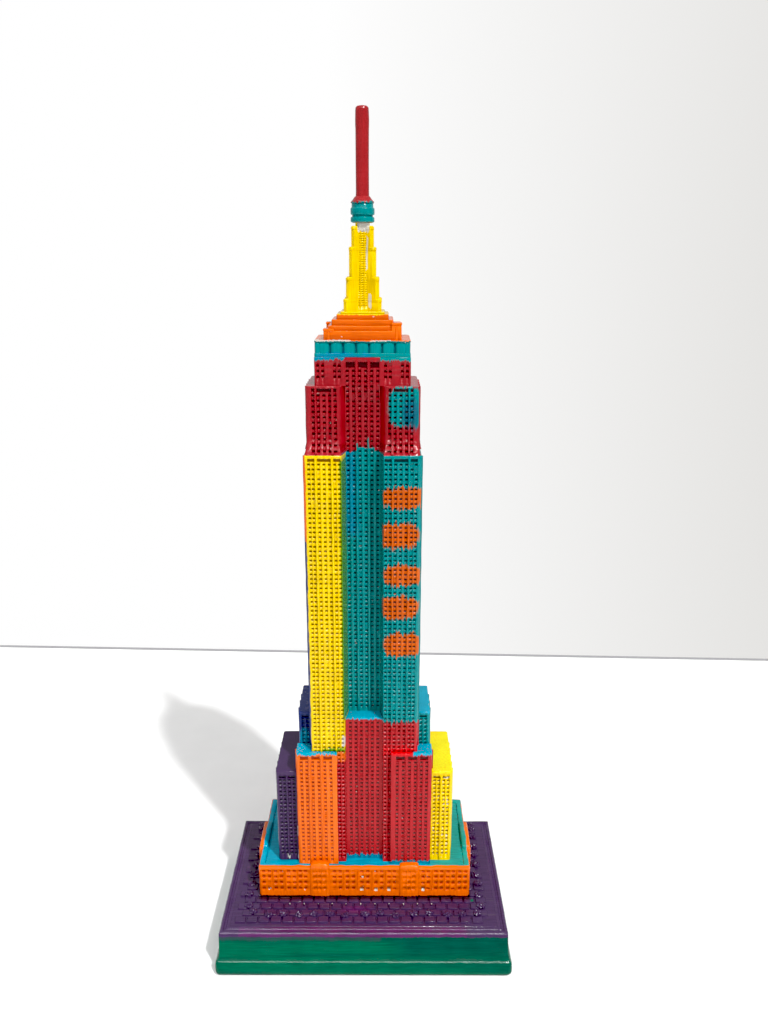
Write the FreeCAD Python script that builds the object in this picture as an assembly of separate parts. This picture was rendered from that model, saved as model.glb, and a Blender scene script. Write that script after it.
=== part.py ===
"""Hand-painted miniature of a stepped Art Deco skyscraper on a rectangular plinth.

Every casting, panel, fixing and pad is its own solid. Units are millimetres, +Z is up, the
entrance front faces -Y, and the origin is the centre of the plinth's underside.
"""
import FreeCAD
import Part

import math
import os

# ---------------------------------------------------------------- driving dimensions
# Plinth, paving and felt
FOOT_HALF = (69.7, 43.8)        # half width and half depth of the moulded foot
FELT_HALF = (67.2, 41.3)
FELT_T = 1.0
FOOT_TOP = 8.4                  # height of the foot moulding
FOOT_ROUNDING = (1.0, 1.7)      # at its bottom and at its shoulder
BAND_HALF = (67.8, 41.9)        # the band above the foot, at its bottom
PLINTH_HALF = (67.2, 41.3)      # and at its top
PLINTH_TOP = 22.8
PLINTH_EDGE = 0.8               # chamfer of the top edge
PAVING_HALF = (63.0, 37.0)
PAVING_TOP = 23.6

# Podium
PODIUM_X = 51.2                 # half width
PODIUM_Y = (-17.9, 36.4)        # front and rear faces
PODIUM_TOP = 39.4
PARAPET_W = 2.9
PARAPET_TOP = 40.4
DECK_GAP = 0.6                  # gutter between the deck and the parapet
DECK_TOP = 40.0
BAY_CENTRE_X = 21.7             # entrance bays of the long fronts
BAY_HALF = 4.75
BAY_PROUD = 0.7
BAY_CREST = 42.6                # top of a bay's rounded crest
SIDE_BAY_Y = (-4.0, 15.7)
SIDE_BAY_PROUD = 1.6
SIDE_BAY_TOP = 41.6

# Building masses. AXIS_Y is the tower's own centre line
AXIS_Y = 8.1
CORNER = 0.8                    # bevel of the outer vertical corners
SHAFT_X = 25.0
SHAFT_HALF_Y = 21.2
SHAFT_TOP = 243.0
RECESS_X = 7.4                  # half width of the centre bay at its back
RETURN_X = 9.0                  # half width of the centre recess at the pier faces
CENTRE_HALF_Y = 12.1            # half depth of the core between the long fronts
SIDE_RECESS_X = 21.6            # side bays lie this far out
SIDE_RECESS_HALF_Y = 7.5
SIDE_RETURN_HALF_Y = 9.0
LOWER_BAY_HALF_Y = 18.8         # face of the lower centre bays
LOWER_BAY_TOP = 117.7
WING_X = (12.7, 31.9)
WING_HALF_Y = 23.1
WING_TOP = 101.2
TIER_X = 31.0
TIER_Y = (-5.8, 20.3)
TIER_TOP = 117.9
SIDE_X = 41.95
SIDE_Y = (-12.0, 24.2)
SIDE_TOP = 89.7
UPPER_X = 23.8
UPPER_RETURN_X = 10.8
UPPER_HALF_Y = 16.4
UPPER_TOP = 271.6
SKIRT_X = 24.6                  # the upper block's foot swells out over the shaft's shoulder
SKIRT_HALF_Y = 20.7
SKIRT_TOP = 246.5
CROWN_X = 20.2
CROWN_HALF_Y = 13.6
CROWN_TOP = 283.4

# Cornice and stepped roof
CORNICE_HALF = (20.1, 13.5)
CORNICE_BAND_TOP = 285.0
FRIEZE_HALF = (18.9, 12.3)      # wall behind the rounded pilasters
FRIEZE_TOP = 289.4
PILASTER_PITCH = 5.19
PILASTER_PROUD = 1.0
PILASTER_CHEEK = 0.4            # height of its straight cheeks, as a share of that
PILASTER_GAP = 0.5              # groove between two pilasters
ROOF_SLAB_TOP = 290.2
ROOF_SLAB_ROUNDING = 0.3
ROOF_STEPS = (                  # half width, half depth, top
    (16.3, 12.1, 294.0),
    (14.4, 11.2, 296.0),
    (12.9, 10.4, 298.4),
    (10.9, 9.6, 300.6),
)
PYLON_SIZE = (4.3, 4.0)
PYLON_ROUNDING = 0.4
PYLON_TOPS = {"front_left": 294.8, "front_right": 297.2, "rear_left": 296.0, "rear_right": 296.0}

# Mast
MAST_PLINTH = (9.3, 8.9, 301.5)  # half width, half depth, top
MAST_CORE_BOTTOM = 3.8           # half width
MAST_CORE_TOP = 2.9
MAST_TOP = 335.5
FIN_T = 2.3
FIN_STAGES = (                   # reach from the axis, top of the stage
    (10.5, 306.6),
    (9.1, 315.2),
    (7.3, 327.2),
    (5.9, 335.5),
)
SEAT_R = 4.0
SEAT_TOP = 337.0
RING_R = 4.95
RINGS = ((337.0, 339.0), (339.8, 342.5))
RING_ROUNDING = 0.45
NECK_R = 4.3
DRUM_TOP = 344.4
COLLAR_R = (4.9, 3.1)
COLLAR_TOP = 347.1
ROD_R = 2.6
ROD_HEAD_R = 2.78
ROD_HEAD = 373.5                # where the rod swells into its rounded head
ROD_SHOULDER = 376.5
ROD_ROUNDING = 1.4
ROD_TOP = 381.0

# Fixings
PIN_R = 0.8
PIN_Z = (325.0, 362.0)
GLUE_GAP = 0.05
SCREW_X = 25.0
SCREW_R = 1.75
SCREW_HEAD_R = 3.5
SCREW_HEAD_T = 2.4
SCREW_SLOT_W = 0.8
SCREW_SLOT_DEPTH = 1.0
SCREW_END_ROOM = 1.0            # empty bottom of the podium's hole, beyond the screw's tip
SCREW_TOP = 34.0
SCREW_SINK = 5.0                # depth of the head pocket above the felt
POCKET_R = 4.2

# Recessed window panels of the fronts: inner and outer edge from the tower's centre line
PANEL_DEPTH = 0.45
PIER_PANELS = ((9.3, 12.5), (13.0, 19.6), (20.0, 23.7))
WING_PANELS = ((13.4, 16.9), (17.6, 25.6), (26.3, 31.0))
SIDE_PANELS = ((32.7, 36.9), (37.4, 41.1))
UPPER_PANELS = ((11.3, 13.4), (14.0, 19.8), (20.4, 22.9))
CROWN_PANELS = ((8.4, 11.9), (15.7, 19.4))
PIER_PANEL_TOP = SHAFT_TOP - 1.2
WING_PANEL_TOP = WING_TOP - 1.6
SIDE_PANEL_TOP = SIDE_TOP - 2.4
UPPER_PANEL_Z = (SKIRT_TOP + 0.4, UPPER_TOP - 1.0)
CROWN_PANEL_Z = (UPPER_TOP + 0.6, CROWN_TOP - 2.6)


# ---------------------------------------------------------------- shape helpers
def box(x, y, z):
    """Box from (low, high) pairs."""
    size = (x[1] - x[0], y[1] - y[0], z[1] - z[0])
    return Part.makeBox(*size, FreeCAD.Vector(x[0], y[0], z[0]))


def centred(half_x, half_y, z, centre_y=0.0):
    return box((-half_x, half_x), (centre_y - half_y, centre_y + half_y), z)


def prism(points, z):
    """Upright prism over a closed outline of (x, y) points."""
    corners = [FreeCAD.Vector(px, py, z[0]) for px, py in points]
    outline = Part.makePolygon(corners + corners[:1])
    return Part.Face(outline).extrude(FreeCAD.Vector(0, 0, z[1] - z[0]))


def rectangle(half_x, half_y, z, centre_y=0.0):
    low, high = centre_y - half_y, centre_y + half_y
    corners = [(-half_x, low), (half_x, low), (half_x, high), (-half_x, high)]
    points = [FreeCAD.Vector(px, py, z) for px, py in corners]
    return Part.makePolygon(points + points[:1])


def tapered(bottom, top, z, centre_y=0.0):
    """Rectangular block that tapers from one (half x, half y) to another."""
    ends = [rectangle(*bottom, z[0], centre_y), rectangle(*top, z[1], centre_y)]
    return Part.makeLoft(ends, True, True)


def disc(radius, z, x=0.0, y=AXIS_Y):
    return Part.makeCylinder(radius, z[1] - z[0], FreeCAD.Vector(x, y, z[0]))


def pin_bore(z):
    return disc(PIN_R + GLUE_GAP, z)


def to_left(shape):
    return shape.mirror(FreeCAD.Vector(0, 0, 0), FreeCAD.Vector(1, 0, 0))


def to_rear(shape):
    """Mirror of a front piece about the tower's own centre plane."""
    return shape.mirror(FreeCAD.Vector(0, AXIS_Y, 0), FreeCAD.Vector(0, 1, 0))


def edges_at(shape, z):
    """Level edges at one height, for rounding or bevelling."""
    found = []
    for edge in shape.Edges:
        bounds = edge.BoundBox
        if bounds.ZLength < 1e-6 and abs(bounds.ZMin - z) < 1e-6:
            found.append(edge)
    return found


def cut_panels(shape, panels, face_y, z):
    """Shallow window panels in a front face, each between two distances from the centre."""
    for inner, outer in panels:
        shape = shape.cut(box((inner, outer), (face_y, face_y + PANEL_DEPTH), z))
    return shape


# ---------------------------------------------------------------- plinth and podium
def felt_pad():
    return centred(*FELT_HALF, (0, FELT_T))


def screw_holes(radius, z):
    right = disc(radius, z, SCREW_X)
    return right.fuse(to_left(right))


def plinth():
    foot = centred(*FOOT_HALF, (FELT_T, FOOT_TOP))
    foot = foot.makeFillet(FOOT_ROUNDING[0], edges_at(foot, FELT_T))
    foot = foot.makeFillet(FOOT_ROUNDING[1], edges_at(foot, FOOT_TOP))
    band = tapered(BAND_HALF, PLINTH_HALF, (FOOT_TOP, PLINTH_TOP))
    band = band.makeChamfer(PLINTH_EDGE, edges_at(band, PLINTH_TOP))
    body = foot.fuse(band).removeSplitter()
    body = body.cut(screw_holes(SCREW_R + GLUE_GAP, (FELT_T, PLINTH_TOP)))
    return body.cut(screw_holes(POCKET_R, (FELT_T, FELT_T + SCREW_SINK)))


def paving_slab():
    slab = centred(*PAVING_HALF, (PLINTH_TOP, PAVING_TOP))
    return slab.cut(screw_holes(SCREW_R + GLUE_GAP, (PLINTH_TOP, PAVING_TOP)))


def podium():
    body = box((-PODIUM_X, PODIUM_X), PODIUM_Y, (PAVING_TOP, PODIUM_TOP))
    return body.cut(screw_holes(SCREW_R + GLUE_GAP, (PAVING_TOP, SCREW_TOP)))


def podium_inset(inset):
    """x and y ranges of the podium's outline moved inwards."""
    x = (-PODIUM_X + inset, PODIUM_X - inset)
    y = (PODIUM_Y[0] + inset, PODIUM_Y[1] - inset)
    return x, y


def podium_parapet():
    rim = box(*podium_inset(0), (PODIUM_TOP, PARAPET_TOP))
    return rim.cut(box(*podium_inset(PARAPET_W), (PODIUM_TOP, PARAPET_TOP)))


def roof_deck():
    return box(*podium_inset(PARAPET_W + DECK_GAP), (PODIUM_TOP, DECK_TOP))


def entrance_bay(face_y, outward):
    """Proud bay of a long front with a rounded crest that sits on the parapet."""
    x = (BAY_CENTRE_X - BAY_HALF, BAY_CENTRE_X + BAY_HALF)
    front = face_y + outward * BAY_PROUD
    inner = face_y - outward * PARAPET_W
    slab = box(x, sorted((front, face_y)), (PAVING_TOP, PARAPET_TOP))
    rise = BAY_CREST - PARAPET_TOP
    start = FreeCAD.Vector(x[0], front, PARAPET_TOP)
    middle = FreeCAD.Vector(BAY_CENTRE_X, front, PARAPET_TOP + rise)
    end = FreeCAD.Vector(x[1], front, PARAPET_TOP)
    arch = Part.Arc(start, middle, end).toShape()
    crest_face = Part.Face(Part.Wire([arch, Part.makeLine(end, start)]))
    crest = crest_face.extrude(FreeCAD.Vector(0, inner - front, 0))
    return slab.fuse(crest).removeSplitter()


def side_bay():
    """Proud middle bay of the podium's short side, lapping onto the parapet."""
    outer = PODIUM_X + SIDE_BAY_PROUD
    slab = box((PODIUM_X, outer), SIDE_BAY_Y, (PAVING_TOP, PARAPET_TOP))
    crest = box((PODIUM_X - PARAPET_W, outer), SIDE_BAY_Y, (PARAPET_TOP, SIDE_BAY_TOP))
    return slab.fuse(crest).removeSplitter()


# ---------------------------------------------------------------- building masses
def shaft_core():
    """Cross-shaped core whose arms show as the recessed bays, and its slim upper part."""
    front = AXIS_Y - CENTRE_HALF_Y
    rear = AXIS_Y + CENTRE_HALF_Y
    stem = box((-RECESS_X, RECESS_X), (front, rear), (DECK_TOP, CROWN_TOP))
    arms = centred(SIDE_RECESS_X, SIDE_RECESS_HALF_Y, (DECK_TOP, SHAFT_TOP), AXIS_Y)
    return stem.fuse(arms).removeSplitter()


def shaft_pier():
    """Front right corner pier, with splayed returns to both recesses."""
    front = AXIS_Y - SHAFT_HALF_Y
    outline = [
        (RETURN_X, front),
        (SHAFT_X - CORNER, front),
        (SHAFT_X, front + CORNER),
        (SHAFT_X, AXIS_Y - SIDE_RETURN_HALF_Y),
        (SIDE_RECESS_X, AXIS_Y - SIDE_RECESS_HALF_Y),
        (RECESS_X, AXIS_Y - SIDE_RECESS_HALF_Y),
        (RECESS_X, AXIS_Y - CENTRE_HALF_Y),
    ]
    pier = prism(outline, (DECK_TOP, SHAFT_TOP))
    inner, others = PIER_PANELS[:1], PIER_PANELS[1:]
    pier = cut_panels(pier, inner, front, (DECK_TOP, PIER_PANEL_TOP))
    return cut_panels(pier, others, front, (WING_TOP, PIER_PANEL_TOP))


def return_x(half_y):
    """Half width of the splayed centre recess at a distance from the tower's centre plane."""
    share = (half_y - CENTRE_HALF_Y) / (SHAFT_HALF_Y - CENTRE_HALF_Y)
    return RECESS_X + share * (RETURN_X - RECESS_X)


def lower_centre_bay():
    face_x = return_x(LOWER_BAY_HALF_Y)
    face = AXIS_Y - LOWER_BAY_HALF_Y
    back = AXIS_Y - CENTRE_HALF_Y
    outline = [(-face_x, face), (face_x, face), (RECESS_X, back), (-RECESS_X, back)]
    return prism(outline, (DECK_TOP, LOWER_BAY_TOP))


def wing(inner_y):
    """L-shaped right wing round the shaft's front corner, back to inner_y."""
    front = AXIS_Y - WING_HALF_Y
    shaft_front = AXIS_Y - SHAFT_HALF_Y
    outline = [
        (WING_X[0], front),
        (WING_X[1] - CORNER, front),
        (WING_X[1], front + CORNER),
        (WING_X[1], inner_y),
        (SHAFT_X, inner_y),
        (SHAFT_X, shaft_front + CORNER),
        (SHAFT_X - CORNER, shaft_front),
        (WING_X[0], shaft_front),
    ]
    body = prism(outline, (DECK_TOP, WING_TOP))
    return cut_panels(body, WING_PANELS, front, (DECK_TOP, WING_PANEL_TOP))


def tier_block():
    """Right middle setback, which also fills the shaft's side recess as high as itself."""
    low, high = TIER_Y
    outline = [
        (SHAFT_X, low),
        (TIER_X, low),
        (TIER_X, high),
        (SHAFT_X, high),
        (SHAFT_X, AXIS_Y + SIDE_RETURN_HALF_Y),
        (SIDE_RECESS_X, AXIS_Y + SIDE_RECESS_HALF_Y),
        (SIDE_RECESS_X, AXIS_Y - SIDE_RECESS_HALF_Y),
        (SHAFT_X, AXIS_Y - SIDE_RETURN_HALF_Y),
    ]
    return prism(outline, (DECK_TOP, TIER_TOP))


def side_block():
    """Right low setback, notched round the wings."""
    low, high = SIDE_Y
    outline = [
        (WING_X[1], low),
        (SIDE_X - CORNER, low),
        (SIDE_X, low + CORNER),
        (SIDE_X, high - CORNER),
        (SIDE_X - CORNER, high),
        (WING_X[1], high),
        (WING_X[1], TIER_Y[1]),
        (TIER_X, TIER_Y[1]),
        (TIER_X, TIER_Y[0]),
        (WING_X[1], TIER_Y[0]),
    ]
    body = prism(outline, (DECK_TOP, SIDE_TOP))
    return cut_panels(body, SIDE_PANELS, low, (DECK_TOP, SIDE_PANEL_TOP))


def skirt():
    """Sloping foot round the upper block's outer faces, down to the shaft's shoulder."""
    wires = []
    for outer, half_y, z in ((SKIRT_X, SKIRT_HALF_Y, SHAFT_TOP), (UPPER_X, UPPER_HALF_Y, SKIRT_TOP)):
        low, high = AXIS_Y - half_y, AXIS_Y + half_y
        corners = [(UPPER_RETURN_X, low), (outer, low), (outer, high), (UPPER_RETURN_X, high)]
        points = [FreeCAD.Vector(px, py, z) for px, py in corners]
        wires.append(Part.makePolygon(points + points[:1]))
    return Part.makeLoft(wires, True, True)


def upper_block():
    """Right block above the shaft, splayed back to the core at front and rear."""
    front, rear = AXIS_Y - UPPER_HALF_Y, AXIS_Y + UPPER_HALF_Y
    outline = [
        (UPPER_RETURN_X, front),
        (UPPER_X - CORNER, front),
        (UPPER_X, front + CORNER),
        (UPPER_X, rear - CORNER),
        (UPPER_X - CORNER, rear),
        (UPPER_RETURN_X, rear),
        (RECESS_X, AXIS_Y + CENTRE_HALF_Y),
        (RECESS_X, AXIS_Y - CENTRE_HALF_Y),
    ]
    body = prism(outline, (SHAFT_TOP, UPPER_TOP)).fuse(skirt()).removeSplitter()
    body = cut_panels(body, UPPER_PANELS, front, UPPER_PANEL_Z)
    return cut_panels(body, UPPER_PANELS, rear - PANEL_DEPTH, UPPER_PANEL_Z)


def crown_block():
    front, rear = AXIS_Y - CROWN_HALF_Y, AXIS_Y + CROWN_HALF_Y
    body = box((RECESS_X, CROWN_X), (front, rear), (UPPER_TOP, CROWN_TOP))
    body = cut_panels(body, CROWN_PANELS, front, CROWN_PANEL_Z)
    return cut_panels(body, CROWN_PANELS, rear - PANEL_DEPTH, CROWN_PANEL_Z)


# ---------------------------------------------------------------- cornice and roof
def cornice_band():
    return centred(*CORNICE_HALF, (CROWN_TOP, CORNICE_BAND_TOP), AXIS_Y)


def pilaster_row(half_length, pitch):
    """Centres of the pilasters that fill a side of the frieze."""
    count = round(2 * half_length / pitch)
    step = 2 * half_length / count
    return [(-half_length + step * (i + 0.5), step) for i in range(count)]


def bowed_pilaster(width, height):
    """Upright pilaster with a bowed face towards -Y, its back on the plane y = 0."""
    half = (width - PILASTER_GAP) / 2
    left, right = FreeCAD.Vector(-half, 0, 0), FreeCAD.Vector(half, 0, 0)
    cheek = -PILASTER_PROUD * PILASTER_CHEEK
    left_face = FreeCAD.Vector(-half, cheek, 0)
    right_face = FreeCAD.Vector(half, cheek, 0)
    nose = FreeCAD.Vector(0, -PILASTER_PROUD, 0)
    bow = Part.Arc(left_face, nose, right_face).toShape()
    sides = [Part.makeLine(right_face, right), Part.makeLine(right, left)]
    sides.append(Part.makeLine(left, left_face))
    face = Part.Face(Part.Wire([bow] + sides))
    return face.extrude(FreeCAD.Vector(0, 0, height))


def cornice_frieze():
    wall = centred(*FRIEZE_HALF, (CORNICE_BAND_TOP, FRIEZE_TOP), AXIS_Y)
    height = FRIEZE_TOP - CORNICE_BAND_TOP
    added = []
    for turn, length, reach in (
        (0, FRIEZE_HALF[0], FRIEZE_HALF[1]),
        (90, FRIEZE_HALF[1], FRIEZE_HALF[0]),
        (180, FRIEZE_HALF[0], FRIEZE_HALF[1]),
        (270, FRIEZE_HALF[1], FRIEZE_HALF[0]),
    ):
        for centre, width in pilaster_row(length, PILASTER_PITCH):
            pilaster = bowed_pilaster(width, height)
            pilaster.translate(FreeCAD.Vector(centre, -reach, CORNICE_BAND_TOP))
            pilaster.rotate(FreeCAD.Vector(0, 0, 0), FreeCAD.Vector(0, 0, 1), turn)
            pilaster.translate(FreeCAD.Vector(0, AXIS_Y, 0))
            added.append(pilaster)
    return wall.multiFuse(added).removeSplitter()


def roof_slab():
    slab = centred(*CORNICE_HALF, (FRIEZE_TOP, ROOF_SLAB_TOP), AXIS_Y)
    return slab.makeFillet(ROOF_SLAB_ROUNDING, edges_at(slab, ROOF_SLAB_TOP))


def pylon_box(place):
    """Range of a corner pylon, flush with the corner of the lowest roof step."""
    half_x, half_y, _ = ROOF_STEPS[0]
    right = box((half_x - PYLON_SIZE[0], half_x), (AXIS_Y - half_y, AXIS_Y - half_y + PYLON_SIZE[1]),
                (ROOF_SLAB_TOP, PYLON_TOPS[place]))
    shape = to_rear(right) if place.startswith("rear") else right
    return to_left(shape) if place.endswith("left") else shape


def corner_pylon(place):
    body = pylon_box(place)
    return body.makeFillet(PYLON_ROUNDING, edges_at(body, PYLON_TOPS[place]))


def roof_step(index):
    """One step of the stepped roof, cut clear of the corner pylons."""
    bottom = ROOF_SLAB_TOP if index == 0 else ROOF_STEPS[index - 1][2]
    half_x, half_y, top = ROOF_STEPS[index]
    step = centred(half_x, half_y, (bottom, top), AXIS_Y)
    for place in PYLON_TOPS:
        step = step.cut(pylon_box(place))
    return step


# ---------------------------------------------------------------- mast
def mast_plinth():
    half_x, half_y, top = MAST_PLINTH
    bottom = ROOF_STEPS[-1][2]
    return centred(half_x, half_y, (bottom, top), AXIS_Y)


def mast_core():
    """Tapering square core with the round seat that enters under the ring drum."""
    bottom, top = (MAST_CORE_BOTTOM,) * 2, (MAST_CORE_TOP,) * 2
    core = tapered(bottom, top, (MAST_PLINTH[2], MAST_TOP), AXIS_Y)
    seat = disc(SEAT_R, (MAST_TOP, SEAT_TOP))
    core = core.fuse(seat).removeSplitter()
    return core.cut(pin_bore((PIN_Z[0], SEAT_TOP)))


def mast_fin(turn):
    """Stepped buttress fin that stands out from one corner of the mast's core."""
    stages = []
    bottom = MAST_PLINTH[2]
    for reach, top in FIN_STAGES:
        stages.append(box((0, reach), (-FIN_T / 2, FIN_T / 2), (bottom, top)))
        bottom = top
    fin = stages[0].multiFuse(stages[1:]).removeSplitter()
    fin.rotate(FreeCAD.Vector(0, 0, 0), FreeCAD.Vector(0, 0, 1), turn)
    fin.translate(FreeCAD.Vector(0, AXIS_Y, 0))
    core = tapered((MAST_CORE_BOTTOM,) * 2, (MAST_CORE_TOP,) * 2, (MAST_PLINTH[2], MAST_TOP), AXIS_Y)
    return fin.cut(core)


def ring_drum():
    drum = disc(NECK_R, (SEAT_TOP, DRUM_TOP))
    for z in RINGS:
        ring = disc(RING_R, z)
        ring = ring.makeFillet(RING_ROUNDING, edges_at(ring, z[0]) + edges_at(ring, z[1]))
        drum = drum.fuse(ring)
    return drum.removeSplitter().cut(pin_bore((SEAT_TOP, DRUM_TOP)))


def rod_collar():
    foot = FreeCAD.Vector(0, AXIS_Y, DRUM_TOP)
    cone = Part.makeCone(COLLAR_R[0], COLLAR_R[1], COLLAR_TOP - DRUM_TOP, foot)
    return cone.cut(pin_bore((DRUM_TOP, COLLAR_TOP)))


def antenna_rod():
    """Plain rod that swells slightly into a rounded head."""
    profile = [(0, COLLAR_TOP), (ROD_R, COLLAR_TOP), (ROD_R, ROD_HEAD)]
    profile += [(ROD_HEAD_R, ROD_SHOULDER), (ROD_HEAD_R, ROD_TOP - ROD_ROUNDING)]
    points = [FreeCAD.Vector(r, 0, z) for r, z in profile]
    corner_cut = ROD_ROUNDING * (1 - math.sqrt(0.5))
    bend = FreeCAD.Vector(ROD_HEAD_R - corner_cut, 0, ROD_TOP - corner_cut)
    cap = FreeCAD.Vector(ROD_HEAD_R - ROD_ROUNDING, 0, ROD_TOP)
    axis_top = FreeCAD.Vector(0, 0, ROD_TOP)
    edges = [Part.makeLine(a, b) for a, b in zip(points, points[1:])]
    edges.append(Part.Arc(points[-1], bend, cap).toShape())
    edges.append(Part.makeLine(cap, axis_top))
    edges.append(Part.makeLine(axis_top, points[0]))
    face = Part.Face(Part.Wire(edges))
    rod = face.revolve(FreeCAD.Vector(0, 0, 0), FreeCAD.Vector(0, 0, 1), 360)
    rod.translate(FreeCAD.Vector(0, AXIS_Y, 0))
    return rod.cut(pin_bore((COLLAR_TOP, PIN_Z[1])))


# ---------------------------------------------------------------- fixings
def antenna_pin():
    return disc(PIN_R, PIN_Z)


def base_screws():
    """Two countersunk screws that hold the podium down through the plinth."""
    head_z = FELT_T + SCREW_SINK
    head_low = head_z - SCREW_HEAD_T
    shank = disc(SCREW_R, (head_z, SCREW_TOP - SCREW_END_ROOM), SCREW_X)
    head = disc(SCREW_HEAD_R, (head_low, head_z), SCREW_X)
    slot_x = (SCREW_X - SCREW_HEAD_R, SCREW_X + SCREW_HEAD_R)
    slot_y = (AXIS_Y - SCREW_SLOT_W / 2, AXIS_Y + SCREW_SLOT_W / 2)
    slot = box(slot_x, slot_y, (head_low, head_low + SCREW_SLOT_DEPTH))
    screw = shank.fuse(head).cut(slot)
    return Part.makeCompound([screw, to_left(screw)])


# ---------------------------------------------------------------- all pieces
def pair(name, shape, parts):
    """Right piece and its left mirror image."""
    parts[name + "_right"] = shape
    parts[name + "_left"] = to_left(shape)


def build():
    parts = {
        "felt_pad": felt_pad(),
        "plinth": plinth(),
        "paving_slab": paving_slab(),
        "podium": podium(),
        "podium_parapet": podium_parapet(),
        "roof_deck": roof_deck(),
        "shaft_core": shaft_core(),
        "lower_centre_bay_front": lower_centre_bay(),
        "lower_centre_bay_rear": to_rear(lower_centre_bay()),
        "cornice_band": cornice_band(),
        "cornice_frieze": cornice_frieze(),
        "roof_slab": roof_slab(),
        "mast_plinth": mast_plinth(),
        "mast_core": mast_core(),
        "ring_drum": ring_drum(),
        "rod_collar": rod_collar(),
        "antenna_rod": antenna_rod(),
        "antenna_pin": antenna_pin(),
        "base_screws": base_screws(),
    }
    pair("entrance_bay_front", entrance_bay(PODIUM_Y[0], -1), parts)
    pair("entrance_bay_rear", entrance_bay(PODIUM_Y[1], 1), parts)
    pair("side_bay", side_bay(), parts)
    pair("shaft_pier_front", shaft_pier(), parts)
    pair("shaft_pier_rear", to_rear(shaft_pier()), parts)
    pair("wing_front", wing(TIER_Y[0]), parts)
    pair("wing_rear", to_rear(wing(2 * AXIS_Y - TIER_Y[1])), parts)
    pair("tier_block", tier_block(), parts)
    pair("side_block", side_block(), parts)
    pair("upper_block", upper_block(), parts)
    pair("crown_block", crown_block(), parts)
    for index in range(len(ROOF_STEPS)):
        parts["roof_step_%d" % (index + 1)] = roof_step(index)
    for place in PYLON_TOPS:
        parts["corner_pylon_" + place] = corner_pylon(place)
    for place, turn in (("front_right", -45), ("rear_right", 45), ("rear_left", 135), ("front_left", -135)):
        parts["mast_fin_" + place] = mast_fin(turn)
    return parts


os.makedirs("parts", exist_ok=True)
for node, shape in build().items():
    for solid in shape.Solids:
        if not solid.isValid():
            raise ValueError("invalid solid in " + node)
    shape.exportStep("parts/%s.step" % node)
    bounds = shape.BoundBox
    print("%-24s solids %d  volume %9.1f  z %.2f to %.2f"
          % (node, len(shape.Solids), shape.Volume, bounds.ZMin, bounds.ZMax))
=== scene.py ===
"""Looks of the hand-painted miniature skyscraper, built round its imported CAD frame."""
import math
import random

import bpy
from mathutils import Matrix, Vector, noise


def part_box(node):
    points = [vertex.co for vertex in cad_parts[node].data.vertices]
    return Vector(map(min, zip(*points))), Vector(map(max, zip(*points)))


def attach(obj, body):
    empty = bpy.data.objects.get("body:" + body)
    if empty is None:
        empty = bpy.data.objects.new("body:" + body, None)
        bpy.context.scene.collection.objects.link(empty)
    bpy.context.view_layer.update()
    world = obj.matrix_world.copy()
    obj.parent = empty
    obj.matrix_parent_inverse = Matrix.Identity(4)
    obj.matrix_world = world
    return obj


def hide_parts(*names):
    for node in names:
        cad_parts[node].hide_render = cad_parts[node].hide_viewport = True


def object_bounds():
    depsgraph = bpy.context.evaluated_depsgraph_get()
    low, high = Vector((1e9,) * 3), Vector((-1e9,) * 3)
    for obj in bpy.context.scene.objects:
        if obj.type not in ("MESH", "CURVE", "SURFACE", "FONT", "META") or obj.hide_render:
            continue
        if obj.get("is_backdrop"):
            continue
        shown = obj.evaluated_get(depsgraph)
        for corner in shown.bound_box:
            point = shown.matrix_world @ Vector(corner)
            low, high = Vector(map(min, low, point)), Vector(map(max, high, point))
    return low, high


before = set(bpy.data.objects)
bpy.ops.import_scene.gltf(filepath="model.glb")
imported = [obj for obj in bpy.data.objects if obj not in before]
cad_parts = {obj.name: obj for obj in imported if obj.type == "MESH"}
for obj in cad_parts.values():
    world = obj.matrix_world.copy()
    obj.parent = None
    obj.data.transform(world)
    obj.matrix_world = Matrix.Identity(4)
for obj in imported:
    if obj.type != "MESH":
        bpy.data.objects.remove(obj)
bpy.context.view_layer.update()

noise.seed_set(5)           # otherwise noise_vector differs from run to run

MM = 0.001


# ---------------------------------------------------------------- places from the frame
def span(node):
    """Lowest and highest corner of a CAD node, in millimetres."""
    low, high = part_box(node)
    return low / MM, high / MM


PIER_LOW, PIER_HIGH = span("shaft_pier_front_right")
REAR_PIER_HIGH = span("shaft_pier_rear_right")[1]
AXIS_Y = (PIER_LOW.y + REAR_PIER_HIGH.y) / 2
PODIUM_LOW, PODIUM_HIGH = span("podium")
DECK_TOP = span("roof_deck")[1].z
PAVING_LOW, PAVING_HIGH = span("paving_slab")
WING_LOW, WING_HIGH = span("wing_front_right")
TIER_LOW, TIER_HIGH = span("tier_block_right")
SIDE_LOW, SIDE_HIGH = span("side_block_right")
FLARE = Vector((0.8, 4.3, 0.0))     # how far the upper block's foot swells out over the shaft
UPPER_LOW, UPPER_HIGH = span("upper_block_right")
UPPER_LOW.y += FLARE.y
UPPER_HIGH -= FLARE
CROWN_LOW, CROWN_HIGH = span("crown_block_right")
CORE_LOW, CORE_HIGH = span("shaft_core")
BAY_LOW, BAY_HIGH = span("lower_centre_bay_front")
RECESS_X = PIER_LOW.x
SIDE_RECESS_X = CORE_HIGH.x
SIDE_RECESS_HALF_Y = AXIS_Y - PIER_HIGH.y
CENTRE_FACE_Y = CORE_LOW.y
CENTRE_REAR_Y = 2 * AXIS_Y - CENTRE_FACE_Y

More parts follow.
